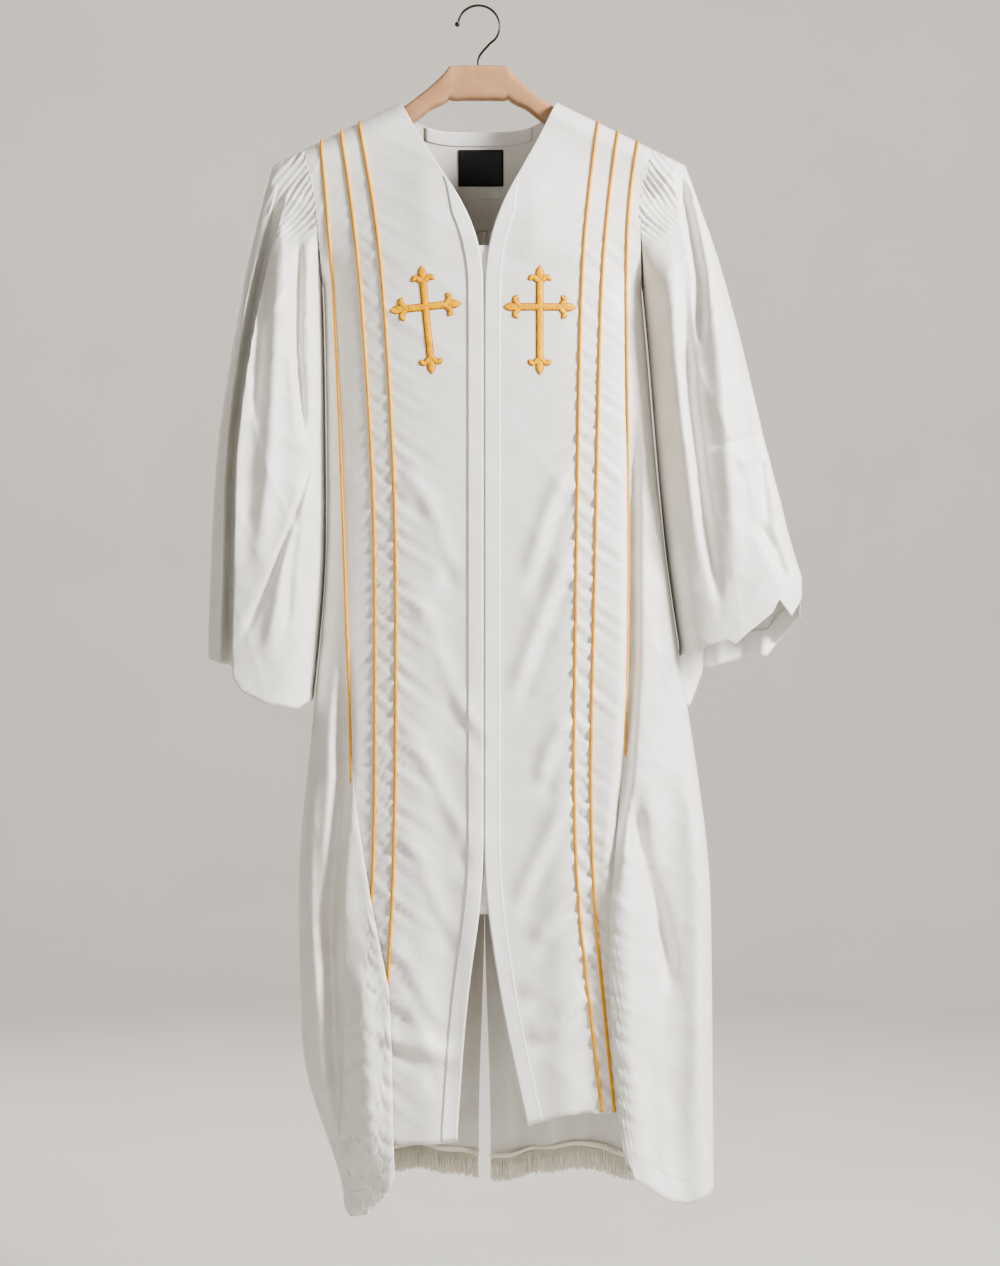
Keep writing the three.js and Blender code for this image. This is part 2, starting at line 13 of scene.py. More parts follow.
import bmesh
import bpy
import numpy as np
from mathutils import Matrix, Vector


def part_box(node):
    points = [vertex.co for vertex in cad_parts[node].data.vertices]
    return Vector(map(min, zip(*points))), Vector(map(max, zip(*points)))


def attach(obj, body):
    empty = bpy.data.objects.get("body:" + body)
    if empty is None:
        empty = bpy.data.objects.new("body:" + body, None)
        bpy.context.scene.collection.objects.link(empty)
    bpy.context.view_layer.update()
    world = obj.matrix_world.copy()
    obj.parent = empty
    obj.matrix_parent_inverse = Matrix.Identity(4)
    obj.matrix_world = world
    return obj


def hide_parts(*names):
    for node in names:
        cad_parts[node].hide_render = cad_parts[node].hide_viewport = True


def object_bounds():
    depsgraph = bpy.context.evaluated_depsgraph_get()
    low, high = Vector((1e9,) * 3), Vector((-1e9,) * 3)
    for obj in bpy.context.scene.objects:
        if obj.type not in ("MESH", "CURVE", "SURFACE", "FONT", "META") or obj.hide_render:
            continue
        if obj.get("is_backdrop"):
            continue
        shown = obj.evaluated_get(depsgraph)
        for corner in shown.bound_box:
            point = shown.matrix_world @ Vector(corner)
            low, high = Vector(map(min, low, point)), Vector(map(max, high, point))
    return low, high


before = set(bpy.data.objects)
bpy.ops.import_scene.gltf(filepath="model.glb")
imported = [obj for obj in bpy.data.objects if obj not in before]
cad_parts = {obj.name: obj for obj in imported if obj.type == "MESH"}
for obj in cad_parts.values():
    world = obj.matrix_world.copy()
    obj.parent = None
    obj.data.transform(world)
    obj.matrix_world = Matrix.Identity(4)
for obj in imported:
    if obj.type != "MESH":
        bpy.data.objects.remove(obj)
LOG = logging.getLogger("robe")
MM = 0.001
ROBE_BODY = "hanger_and_robe"
HOOK_BODY = "hook"
BANDS_PER_SCALE = 0.31 / (2 * math.pi)   # the wave texture's scale for one band in a metre

Array = np.ndarray
Line = Callable[[Array], Array]


class Side(Enum):
    """Which half of the robe, as the viewer sees it."""

    LEFT = "left"
    RIGHT = "right"

    @property
    def sign(self) -> int:
        """-1 on the viewer's left and 1 on the right."""
        return -1 if self is Side.LEFT else 1


class Face(Enum):
    """Whether a cloth lies on the front or on the back of the robe."""

    FRONT = -1
    BACK = 1


# ---------------------------------------------------------------- finishes


def linear(colour: str) -> tuple[float, float, float, float]:
    """Turns an sRGB hex colour into linear values.

    Args:
        colour: such as "#F1EFEA".

    Returns:
        Linear red, green, blue, and an alpha of 1.
    """
    parts = [int(colour[i : i + 2], 16) / 255 for i in (1, 3, 5)]
    r, g, b = [p / 12.92 if p <= 0.04045 else ((p + 0.055) / 1.055) ** 2.4 for p in parts]
    return r, g, b, 1.0


def add_node(tree: bpy.types.NodeTree, kind: str, settings: dict | None = None,
             **inputs: object) -> bpy.types.Node:
    """Adds one node.

    Args:
        tree: the node tree.
        kind: the node's type, such as "ShaderNodeBump".
        settings: attributes of the node.
        inputs: a value or an output socket for each input, with _ for a space in its name.

    Returns:
        The new node.
    """
    node = tree.nodes.new(kind)
    for name, value in (settings or {}).items():
        setattr(node, name, value)
    for name, value in inputs.items():
        socket = node.inputs[name.replace("_", " ")]
        if isinstance(value, bpy.types.NodeSocket):
            tree.links.new(value, socket)
        else:
            socket.default_value = value
    return node


@dataclass(frozen=True)
class Textile:
    """A woven or stitched finish: two crossing sets of threads over a soft mottle.

    The thread pitch is drawn coarser than the real 0.2 to 0.4 mm, so that it shows.
    """

    name: str
    colour: str
    shade: str
    roughness: float
    sheen: float
    pitch_mm: float
    thread_depth: float
    mottle_mm: float = 35.0
    twill: float = 0.0

    def make(self) -> bpy.types.Material:
        """Builds the material.

        Returns:
            The material.
        """
        material = bpy.data.materials.new(self.name)
        material.use_nodes = True
        tree = material.node_tree
        shader = tree.nodes["Principled BSDF"]
        place = add_node(tree, "ShaderNodeTexCoord").outputs["Object"]
        mapping = add_node(tree, "ShaderNodeMapping", Vector=place, Rotation=(0.0, self.twill, 0.0))
        turned = mapping.outputs["Vector"]
        bands = BANDS_PER_SCALE / (self.pitch_mm * MM)
        threads = add_node(tree, "ShaderNodeMath", {"operation": "MAXIMUM"})
        for k, way in enumerate("XZ"):
            one_way = add_node(tree, "ShaderNodeTexWave", {"bands_direction": way}, Vector=turned, Scale=bands,
                               Distortion=0.6, Detail=1.0)
            tree.links.new(one_way.outputs["Fac"], threads.inputs[k])
        mottle = add_node(tree, "ShaderNodeTexNoise", Vector=place, Scale=1 / (self.mottle_mm * MM), Detail=3.0)
        tone = add_node(tree, "ShaderNodeMapRange", Value=mottle.outputs["Fac"], From_Min=0.35, From_Max=0.75)
        shades = add_node(tree, "ShaderNodeMix", {"data_type": "RGBA"})
        tree.links.new(tone.outputs["Result"], shades.inputs["Factor"])
        shades.inputs[6].default_value = linear(self.colour)
        shades.inputs[7].default_value = linear(self.shade)
        bump = add_node(tree, "ShaderNodeBump", Height=threads.outputs["Value"], Strength=0.5,
                        Distance=self.thread_depth * MM)
        tree.links.new(shades.outputs[2], shader.inputs["Base Color"])
        tree.links.new(bump.outputs["Normal"], shader.inputs["Normal"])
        rough = add_node(tree, "ShaderNodeMapRange", Value=mottle.outputs["Fac"], To_Min=self.roughness - 0.05,
                         To_Max=self.roughness + 0.07)
        tree.links.new(rough.outputs["Result"], shader.inputs["Roughness"])
        shader.inputs["Sheen Weight"].default_value = self.sheen
        shader.inputs["Sheen Roughness"].default_value = 0.4
        return material


@dataclass(frozen=True)
class Hard:
    """A moulded or drawn finish: fine grain, worn a little lighter where it is handled."""

    name: str
    colour: str
    worn: str
    roughness: float
    metallic: float
    grain_mm: float
    ior: float = 1.5

    def make(self) -> bpy.types.Material:
        """Builds the material.

        Returns:
            The material.
        """
        material = bpy.data.materials.new(self.name)
        material.use_nodes = True
        tree = material.node_tree
        shader = tree.nodes["Principled BSDF"]
        place = add_node(tree, "ShaderNodeTexCoord").outputs["Object"]
        grain = add_node(tree, "ShaderNodeTexNoise", Vector=place, Scale=1 / (self.grain_mm * MM), Detail=4.0)
        wear = add_node(tree, "ShaderNodeTexNoise", Vector=place, Scale=1 / (22 * MM), Detail=2.0)
        amount = add_node(tree, "ShaderNodeMapRange", Value=wear.outputs["Fac"], From_Min=0.45, From_Max=0.8)
        shades = add_node(tree, "ShaderNodeMix", {"data_type": "RGBA"})
        tree.links.new(amount.outputs["Result"], shades.inputs["Factor"])
        shades.inputs[6].default_value = linear(self.colour)
        shades.inputs[7].default_value = linear(self.worn)
        tree.links.new(shades.outputs[2], shader.inputs["Base Color"])
        bump = add_node(tree, "ShaderNodeBump", Height=grain.outputs["Fac"], Strength=0.25, Distance=0.1 * MM)
        tree.links.new(bump.outputs["Normal"], shader.inputs["Normal"])
        rough = add_node(tree, "ShaderNodeMapRange", Value=grain.outputs["Fac"], To_Min=self.roughness - 0.08,
                         To_Max=self.roughness + 0.1)
        tree.links.new(rough.outputs["Result"], shader.inputs["Roughness"])
        shader.inputs["Metallic"].default_value = self.metallic
        if not self.metallic:
            shader.inputs["IOR"].default_value = self.ior
        return material


class Finishes:
    """Every material of the robe, made once."""

    def __init__(self) -> None:
        """Makes the materials."""
        # Polyester satin-backed crepe: smooth, cream-white, with a broad soft shine.
        self.robe = Textile("robe_crepe_satin", "#F3F1EC", "#EBE7DF", 0.5, 0.15, 1.6, 0.12).make()
        # The same cloth turned to its matte side, a touch whiter.
        self.facing = Textile("facing_matte_cloth", "#F8F7F5", "#F1EFEC", 0.8, 0.1, 1.2, 0.1).make()
        # Satin-covered cord: yellow gold that goes amber in the hollows.
        self.piping = Textile("piping_gold_satin", "#F0AE1C", "#DD9410", 0.45, 0.0, 1.4, 0.25, 12, 0.8).make()
        # Rayon embroidery floss: bright, with threads lying side by side.
        self.floss = Textile("embroidery_gold_floss", "#F6BC00", "#E89C00", 0.5, 0.0, 1.1, 0.4, 8, 0.5).make()
        # The same floss, darker: painted shade along the edge, where the satin stitch turns under.
        self.floss_painted_shade = Textile("embroidery_amber_edge", "#C26C06", "#A65804", 0.45, 0.0, 1.1, 0.3, 8,
                                  0.5).make()
        # Cut cotton brush fringe: dull and fluffy.
        self.fringe = Textile("fringe_cotton", "#FBF7EA", "#F3EDDA", 0.9, 0.3, 1.0, 0.2, 14).make()
        # Black taffeta of the woven label, which is left blank.
        self.label = Textile("label_black_taffeta", "#131216", "#1E1C20", 0.5, 0.1, 0.9, 0.12, 10).make()
        # White nylon tape of the care label, also left blank.
        self.care = Textile("care_label_nylon", "#F2F2EF", "#E4E3DE", 0.6, 0.1, 0.9, 0.08, 10).make()
        # Woven polyester of the zip tapes, a little darker than the cloth.
        self.tape = Textile("zip_tape_polyester", "#E4E0D8", "#D4CFC4", 0.75, 0.2, 1.0, 0.1, 10).make()
        # Spun sewing thread of the rows of stitches.
        self.thread = Textile("sewing_thread", "#D8D4CA", "#C8C3B7", 0.6, 0.2, 0.8, 0.1, 6).make()
        # Moulded styrene: tan, half gloss, rubbed paler on the shoulders.
        self.hanger = Hard("hanger_moulded_styrene", "#B98D69", "#C9A17D", 0.42, 0.0, 0.6, 1.59).make()
        # Drawn steel wire with a dark plated skin.
        self.steel = Hard("hook_dark_steel", "#4A4542", "#6E6862", 0.34, 1.0, 0.5).make()
        # Brass gone brown with age, on the zip.
        self.brass = Hard("zip_antique_brass", "#8C6A34", "#A9854A", 0.36, 1.0, 0.4).make()


# ---------------------------------------------------------------- lines and surfaces from the frame


def ease(value: Array, low: float, high: float) -> Array:
    """Goes smoothly from 0 at low to 1 at high."""
    t = np.clip((np.asarray(value, float) - low) / (high - low), 0, 1)
    return t * t * (3 - 2 * t)


def edge_line(node: str, outer: bool, sign: int, top: float, bottom: float) -> Line:
    """Reads one long edge of a cloth panel from the frame.

    Args:
        node: the CAD panel.
        outer: the edge away from the centre, or else the one nearer to it.
        sign: -1 on the left and 1 on the right.
        top: highest level to read.
        bottom: lowest level to read.

    Returns:
        A function from z to x, straight on past both ends.
    """
    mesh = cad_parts[node].data
    co = np.array([v.co for v in mesh.vertices], float) / MM
    tris = co[np.array([p.vertices[:3] for p in mesh.polygons])]
    levels, found = np.linspace(top, bottom, 90), []
    for z in levels:
        a, b = tris, np.roll(tris, -1, axis=1)
        cut = (a[..., 2] - z) * (b[..., 2] - z) < 0
        t = (z - a[..., 2][cut]) / (b[..., 2][cut] - a[..., 2][cut])
        x = a[..., 0][cut] + t * (b[..., 0][cut] - a[..., 0][cut])
        found.append(sign * ((sign * x).max() if outer else (sign * x).min()) if len(x) else np.nan)
    found = np.array(found)
    good = ~np.isnan(found)
    found = np.interp(np.arange(90), np.arange(90)[good], found[good])
    padded = np.pad(found, 4, mode="reflect", reflect_type="odd")
    smooth = np.convolve(padded, np.ones(9) / 9, mode="valid")
    run_in = (smooth[0] - smooth[4]) / (levels[0] - levels[4])

    def line(z: Array) -> Array:
        """Where the line runs.

        Args:
            z: heights, in millimetres.

        Returns:
            x at each height.
        """
        z = np.asarray(z, float)
        inside = np.interp(-z, -levels, smooth)
        return inside + np.maximum(z - levels[0], 0) * run_in

    return line


def level(at: float) -> Line:
    """A line that stays at one place."""
    return lambda across: np.full(np.shape(across), float(at))


def offset(line: Line, by: float) -> Line:
    """A line moved sideways by a fixed distance."""
    return lambda z: line(z) + by


def through(points: Sequence[tuple[float, float]]) -> Line:
    """A line through points (x, z), in order of x."""
    x, z = np.array(points, float).T
    return lambda across: np.interp(across, x, z)


def down_through(points: Sequence[tuple[float, float]]) -> Line:
    """A line through points (z, value), from the top down."""
    z, value = np.array(points, float).T
    return lambda height: np.interp(-height, -z, value)


def left_first(side: Side, inner: Line, outer: Line) -> tuple[Line, Line]:
    """The two long edges of a piece, the left one first."""
    return (outer, inner) if side is Side.LEFT else (inner, outer)


@dataclass
class Form:
    """The smooth shape of the hanging robe, before its folds."""

    neck_half: float = 95.0
    shoulder_slope: float = 0.49
    ridge_depth: float = 30.0
    chest_run: float = 170.0
    power: float = 3.0
    armhole_z: float = -257.0
    underarm_run: float = 90.0
    neck_z: float = field(init=False)
    body_depth: float = field(init=False)

    def __post_init__(self) -> None:
        """Reads the sizes that the frame holds."""
        low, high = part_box("front_panel_left")
        self.neck_z = high.z / MM
        self.body_depth = -low.y / MM

    def shoulder(self, x: Array) -> Array:
        """Height of the shoulder line, carried across the neck as a smooth arch.

        Args:
            x: places across, in millimetres.

        Returns:
            The height at each place.
        """
        out, half = np.abs(x), self.neck_half
        run = np.where(out < half, (out * out / half + half) / 2, out)
        return self.neck_z - (run - half) * self.shoulder_slope

    def growing(self, x: Array, z: Array) -> Array:
        """Half depth of the cloth, which grows from the shoulder down to the chest.

        Args:
            x: places across, in millimetres.
            z: heights, in millimetres.

        Returns:
            The half depth at each place.
        """
        below = np.maximum(self.shoulder(x) - z, 0)
        arch = np.sqrt(1 - (1 - np.minimum(below / self.ridge_depth, 1)) ** 2)
        rest = self.body_depth - self.ridge_depth
        return self.ridge_depth * arch + rest * ease(below, self.ridge_depth, self.ridge_depth + self.chest_run)

    def closing(self, z: Array) -> Array:
        """0 where the armhole is open and 1 below it, where front and back meet."""
        return 1 - ease(z, self.armhole_z - self.underarm_run, self.armhole_z)

    def section(self, q: Array, closed: Array) -> Array:
        """Share of the depth at q, from -1 to 1 across the section."""
        return np.maximum(1 - closed * np.abs(q) ** self.power, 0) ** (1 / self.power)


# ---------------------------------------------------------------- folds


class Fold:
    """Something that lifts the cloth off its smooth form."""

    def lift(self, x: Array, z: Array) -> Array:
        """How far the cloth stands out.

        Args:
            x: places across.
            z: heights.

        Returns:
            The lift at each place.
        """
        raise NotImplementedError


@dataclass(frozen=True)
class Crease(Fold):
    """A ridge, or a groove if its height is negative, along a few points (x, z)."""

    line: tuple[tuple[float, float], ...]
    width: float
    height: float

    def lift(self, x: Array, z: Array) -> Array:
        """How far this fold lifts the cloth.

        Args:
            x: places across, in millimetres.
            z: heights, in millimetres.

        Returns:
            The lift at each place, in millimetres.
        """
        points = np.array(self.line, float)
        lengths = np.hypot(*np.diff(points, axis=0).T)
        total, run = lengths.sum(), 0.0
        nearest, along = np.full(x.shape, 1e9), np.zeros(x.shape)
        for a, b, length in zip(points[:-1], points[1:], lengths):
            d = (b - a) / length
            t = np.clip((x - a[0]) * d[0] + (z - a[1]) * d[1], 0, length)
            away = np.hypot(x - a[0] - t * d[0], z - a[1] - t * d[1])
            closer = away < nearest
            nearest = np.where(closer, away, nearest)
            along = np.where(closer, (run + t) / total, along)
            run += length
        fade = ease(np.minimum(along, 1 - along), 0, 0.22)
        return self.height * fade * np.exp(-((nearest / self.width) ** 2))


@dataclass(frozen=True)
class Puckers(Fold):
    """The short slanting ripples that a tight seam draws up on both of its sides."""

    seam: Line
    pitch: float = 21.0
    reach: float = 24.0
    height: float = 2.1
    start: float = -330.0
    full: float = -760.0

    def lift(self, x: Array, z: Array) -> Array:
        """How far this fold lifts the cloth.

        Args:
            x: places across, in millimetres.
            z: heights, in millimetres.

        Returns:
            The lift at each place, in millimetres.
        """
        away = np.abs(x - self.seam(z))
        along = z + 0.7 * away + 5 * np.sin(z / 37)
        turns = 2 * np.pi * along / self.pitch
        wave = np.sin(turns) + 0.6 * np.sin(turns / 1.63 + 1.1)
        wave = wave + 0.5 * np.sin(2 * np.pi * along / (self.pitch * 0.57) + 0.05 * x)
        strength = 0.3 + 0.7 * ease(-z, -self.start, -self.full)
        fade = np.exp(-away / self.reach) * ease(away, 0, 4)
        return self.height * strength * wave * fade * ease(-z, 150, -self.start)


@dataclass(frozen=True)
class Flutes(Fold):
    """Long soft vertical folds that deepen towards the hem."""

    pitch: float
    top: float
    foot: float
    height: float
    phase: float = 0.0
    start: float = 0.08

    def lift(self, x: Array, z: Array) -> Array:
        """How far this fold lifts the cloth.

        Args:
            x: places across, in millimetres.
            z: heights, in millimetres.

        Returns:
            The lift at each place, in millimetres.
        """
        depth = self.start + (1 - self.start) * ease(-z, -self.top, -self.foot)
        lean = x + 9 * np.sin(z / 190 + self.phase)
        wave = np.sin(2 * np.pi * lean / self.pitch + self.phase)
        wave = wave + 0.45 * np.sin(2 * np.pi * lean / (self.pitch * 0.61) + 2 * self.phase)
        return self.height * depth * wave * ease(-z, -self.top - 1, -self.top + 60)


@dataclass(frozen=True)
class Gathers(Fold):
    """Close shirring where a full cloth is drawn into a seam; it fades away from the seam."""

    seam: Line
    pitch: float
    reach: float
    height: float
    low: float

    def lift(self, x: Array, z: Array) -> Array:
        """How far this fold lifts the cloth.

        Args:
            x: places across, in millimetres.
            z: heights, in millimetres.

        Returns:
            The lift at each place, in millimetres.
        """
        away = np.abs(x - self.seam(z))
        fan = z + 1.1 * away + 2.4 * np.sin(z / 17 + away / 13)
        wave = np.sin(2 * np.pi * fan / self.pitch + 1.4 * np.sin(z / 11))
        wave = wave * (0.65 + 0.35 * np.sin(z / 7.3 + away / 19))
        return self.height * wave * np.exp(-away / self.reach) * ease(z, self.low - 25, self.low)


@dataclass(frozen=True)
class YokeGathers(Fold):
    """Shirring below a level seam, running straight down from it."""

    level: float
    pitch: float
    reach: float
    height: float

    def lift(self, x: Array, z: Array) -> Array:
        """How far this fold lifts the cloth.

        Args:
            x: places across, in millimetres.
            z: heights, in millimetres.

        Returns:
            The lift at each place, in millimetres.
        """
        below = np.maximum(self.level - z, 0)
        wave = np.sin(2 * np.pi * x / self.pitch + 1.7 * np.sin(x / 23))
        return self.height * wave * np.exp(-below / self.reach) * ease(below, 0, 3)


@dataclass(frozen=True)
class Crumple(Fold):
    """Small sharp wrinkles in patches, running one way."""

    pitch: float
    height: float
    lean: float
    patch: float = 95.0

    def lift(self, x: Array, z: Array) -> Array:
        """How far this fold lifts the cloth.

        Args:
            x: places across, in millimetres.
            z: heights, in millimetres.

        Returns:
            The lift at each place, in millimetres.
        """
        along = x * math.cos(self.lean) + z * math.sin(self.lean)
        across = z * math.cos(self.lean) - x * math.sin(self.lean)
        bent = along + 0.35 * self.pitch * np.sin(across / self.pitch / 1.7 + self.lean)
        ridge = (1 - np.abs(np.sin(np.pi * bent / self.pitch))) ** 2.2
        patches = np.sin(x / self.patch + 3 * self.lean) * np.sin(z / (1.6 * self.patch) + 5 * self.lean)
        return self.height * ridge * (0.35 + 0.65 * np.clip(patches * 1.6, 0, 1))


@dataclass(frozen=True)
class Brim(Fold):
    """A fold that rolls over at an edge: it stands out from the cloth below and sinks back behind it.

    amount gives how much of it there is at each height, as (z, share) points from the top down.
    """

    edge: Line
    amount: tuple[tuple[float, float], ...]
    height: float
    width: float = 7.0

    def lift(self, x: Array, z: Array) -> Array:
        """How far this fold lifts the cloth.

        Args:
            x: places across, in millimetres.
            z: heights, in millimetres.

        Returns:
            The lift at each place, in millimetres.
        """
        share = down_through(self.amount)(z)
        away = np.abs(x - self.edge(z)) / self.width
        roll = 0.6 + 0.4 * np.sqrt(np.clip(1 - (1 - np.minimum(away, 1)) ** 2, 0, 1))
        return self.height * share * (roll * (1 - ease(away, 3, 9)) - 0.35 * np.exp(-(((away - 9) / 2) ** 2)))


# ---------------------------------------------------------------- cloth


def finish_mesh(name: str, bm: bmesh.types.BMesh, materials: Sequence[bpy.types.Material],
                smooth: bool = True) -> bpy.types.Object:
    """Turns a bmesh in millimetres into an object at the origin, in metres.

    Args:
        name: the piece's name.
        bm: the mesh, which is freed.
        materials: its materials.
        smooth: whether its faces are shaded smooth.

    Returns:
        The object, linked to the scene.
    """
    bmesh.ops.scale(bm, vec=(MM, MM, MM), verts=bm.verts)
    for f in bm.faces:
        f.smooth = smooth
    mesh = bpy.data.meshes.new(name)
    bm.to_mesh(mesh)
    bm.free()
    for material in materials:
        mesh.materials.append(material)
    made = bpy.data.objects.new(name, mesh)
    bpy.context.scene.collection.objects.link(made)
    return made


def repeat(shape: bmesh.types.BMesh, places: Sequence[Matrix]) -> bmesh.types.BMesh:
    """Copies one small shape to many places.

    Args:
        shape: the shape, which is freed.
        places: where each copy goes.

    Returns:
        A new bmesh of all the copies.
    """
    mesh = bpy.data.meshes.new("shape")
    shape.to_mesh(mesh)
    shape.free()
    co = np.array([v.co for v in mesh.vertices])
    copies = bmesh.new()
    for place in places:
        turned = np.array(place)
        mesh.vertices.foreach_set("co", (co @ turned[:3, :3].T + turned[:3, 3]).ravel())
        copies.from_mesh(mesh)
    bpy.data.meshes.remove(mesh)
    return copies


def ball(u: int, v: int) -> bmesh.types.BMesh:
    """A ball one millimetre across.

    Args:
        u: segments round it.
        v: rings from pole to pole.

    Returns:
        The ball.
    """
    bm = bmesh.new()
    bmesh.ops.create_uvsphere(bm, u_segments=u, v_segments=v, radius=0.5)
    return bm


def thicken(piece: bpy.types.Object, thickness: float) -> None:
    """Gives a sheet its thickness, inwards from the outer face.

    Args:
        piece: the sheet.
        thickness: in millimetres.
    """
    solid = piece.modifiers.new("cloth_thickness", "SOLIDIFY")
    solid.thickness = thickness * MM
    solid.offset = -1
    solid.use_rim = True


@dataclass
class Cloth:
    """One cut piece of cloth, laid on a form and folded."""

    name: str
    face: Face
    left: Line
    right: Line
    top: Line
    bottom: Line
    depth: Callable[[Array, Array], Array]
    folds: Sequence[Fold] = ()
    columns: int = 36
    rows: int = 260
    crowd: float = 1.5
    crowd_ends: bool = False
    out: float = 0.0
    calm: float = 34.0
    thickness: float = 1.1

    def points(self, u: Array, v: Array) -> Array:
        """Places of the cloth's outer face.

        Args:
            u: share across, from left to right.
            v: share down.

        Returns:
            One row (x, y, z) for each pair.
        """
        if self.crowd_ends:
            u = (1 - np.cos(np.pi * u)) / 2
        down = v**self.crowd
        z = self.top(self.left(np.full(u.shape, -300.0))) * (1 - down) - 1300 * down
        for _ in range(14):
            x = self.left(z) * (1 - u) + self.right(z) * u
            z = self.top(x) * (1 - down) + self.bottom(x) * down
        x = self.left(z) * (1 - u) + self.right(z) * u
        y = self.depth(x, z)
        lift = sum((f.lift(x, z) for f in self.folds), np.zeros(u.shape))
        y = y + lift * ease(y, 0, self.calm) + self.out
        return np.stack([x, self.face.value * np.maximum(y, 0.15), z], axis=1)

    def build(self, material: bpy.types.Material) -> bpy.types.Object:
        """Makes the piece.

        Args:
            material: its finish.

        Returns:
            The finished piece.
        """
        bm = bmesh.new()
        bmesh.ops.create_grid(bm, x_segments=self.columns, y_segments=self.rows, size=0.5)
        bm.verts.ensure_lookup_table()
        flat = np.array([v.co for v in bm.verts])
        for vert, place in zip(bm.verts, self.points(flat[:, 0] + 0.5, 0.5 - flat[:, 1])):
            vert.co = place
        if self.face is Face.BACK:
            bmesh.ops.reverse_faces(bm, faces=bm.faces)
        piece = finish_mesh(self.name, bm, [material])
        thicken(piece, self.thickness)
        return piece


def settle(piece: bpy.types.Object, slot: str, *nodes: str, body: str = ROBE_BODY) -> None:
    """Attaches a piece to the body that it rides on and hides the CAD nodes that it replaces.

    Args:
        piece: the piece.
        slot: not used.
        nodes: the CAD nodes that it stands for.
        body: the body that it rides on.
    """
    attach(piece, body)
    if nodes:
        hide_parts(*nodes)


def declare_sheet(piece: bpy.types.Object, node: str | None, slot: str) -> None:
    """Attaches a sheet of cloth to the robe and hides the CAD panel that it stands for, if any.

    Args:
        piece: the cloth.
        node: the CAD panel that it replaces, if any.
        slot: not used.
    """
    settle(piece, slot, *([node] if node else []))


def tube(name: str, path: Array, radius: float, material: bpy.types.Material,
         sides: int = 8) -> bpy.types.Object:
    """A closed round cord along a path.

    Args:
        name: the piece's name.
        path: points in millimetres.
        radius: radius in millimetres.
        material: its finish.
        sides: facets round it.

    Returns:
        The object.
    """
    bm = bmesh.new()
    path = np.asarray(path, float)
    way = Vector(path[1] - path[0]).normalized()
    start = Matrix.Translation(path[0]) @ way.to_track_quat("Z", "Y").to_matrix().to_4x4()
    ring = bmesh.ops.create_circle(bm, cap_ends=True, radius=radius, segments=sides, matrix=start)
    face = next(iter({f for v in ring["verts"] for f in v.link_faces}))
    before = way
    for i in range(1, len(path)):
        grown = bmesh.ops.extrude_face_region(bm, geom=[face])
        verts = [g for g in grown["geom"] if isinstance(g, bmesh.types.BMVert)]
        old, face = face, next(g for g in grown["geom"] if isinstance(g, bmesh.types.BMFace))
        if i > 1:
            bmesh.ops.delete(bm, geom=[old], context="FACES_ONLY")
        bmesh.ops.translate(bm, vec=Vector(path[i] - path[i - 1]), verts=verts)
        ahead = Vector(path[min(i + 1, len(path) - 1)] - path[i - 1]).normalized()
        turn = before.rotation_difference(ahead).to_matrix()
        bmesh.ops.rotate(bm, cent=Vector(path[i]), matrix=turn, verts=verts)
        before = ahead
    bmesh.ops.recalc_face_normals(bm, faces=bm.faces)
    return finish_mesh(name, bm, [material])


# ---------------------------------------------------------------- the robe


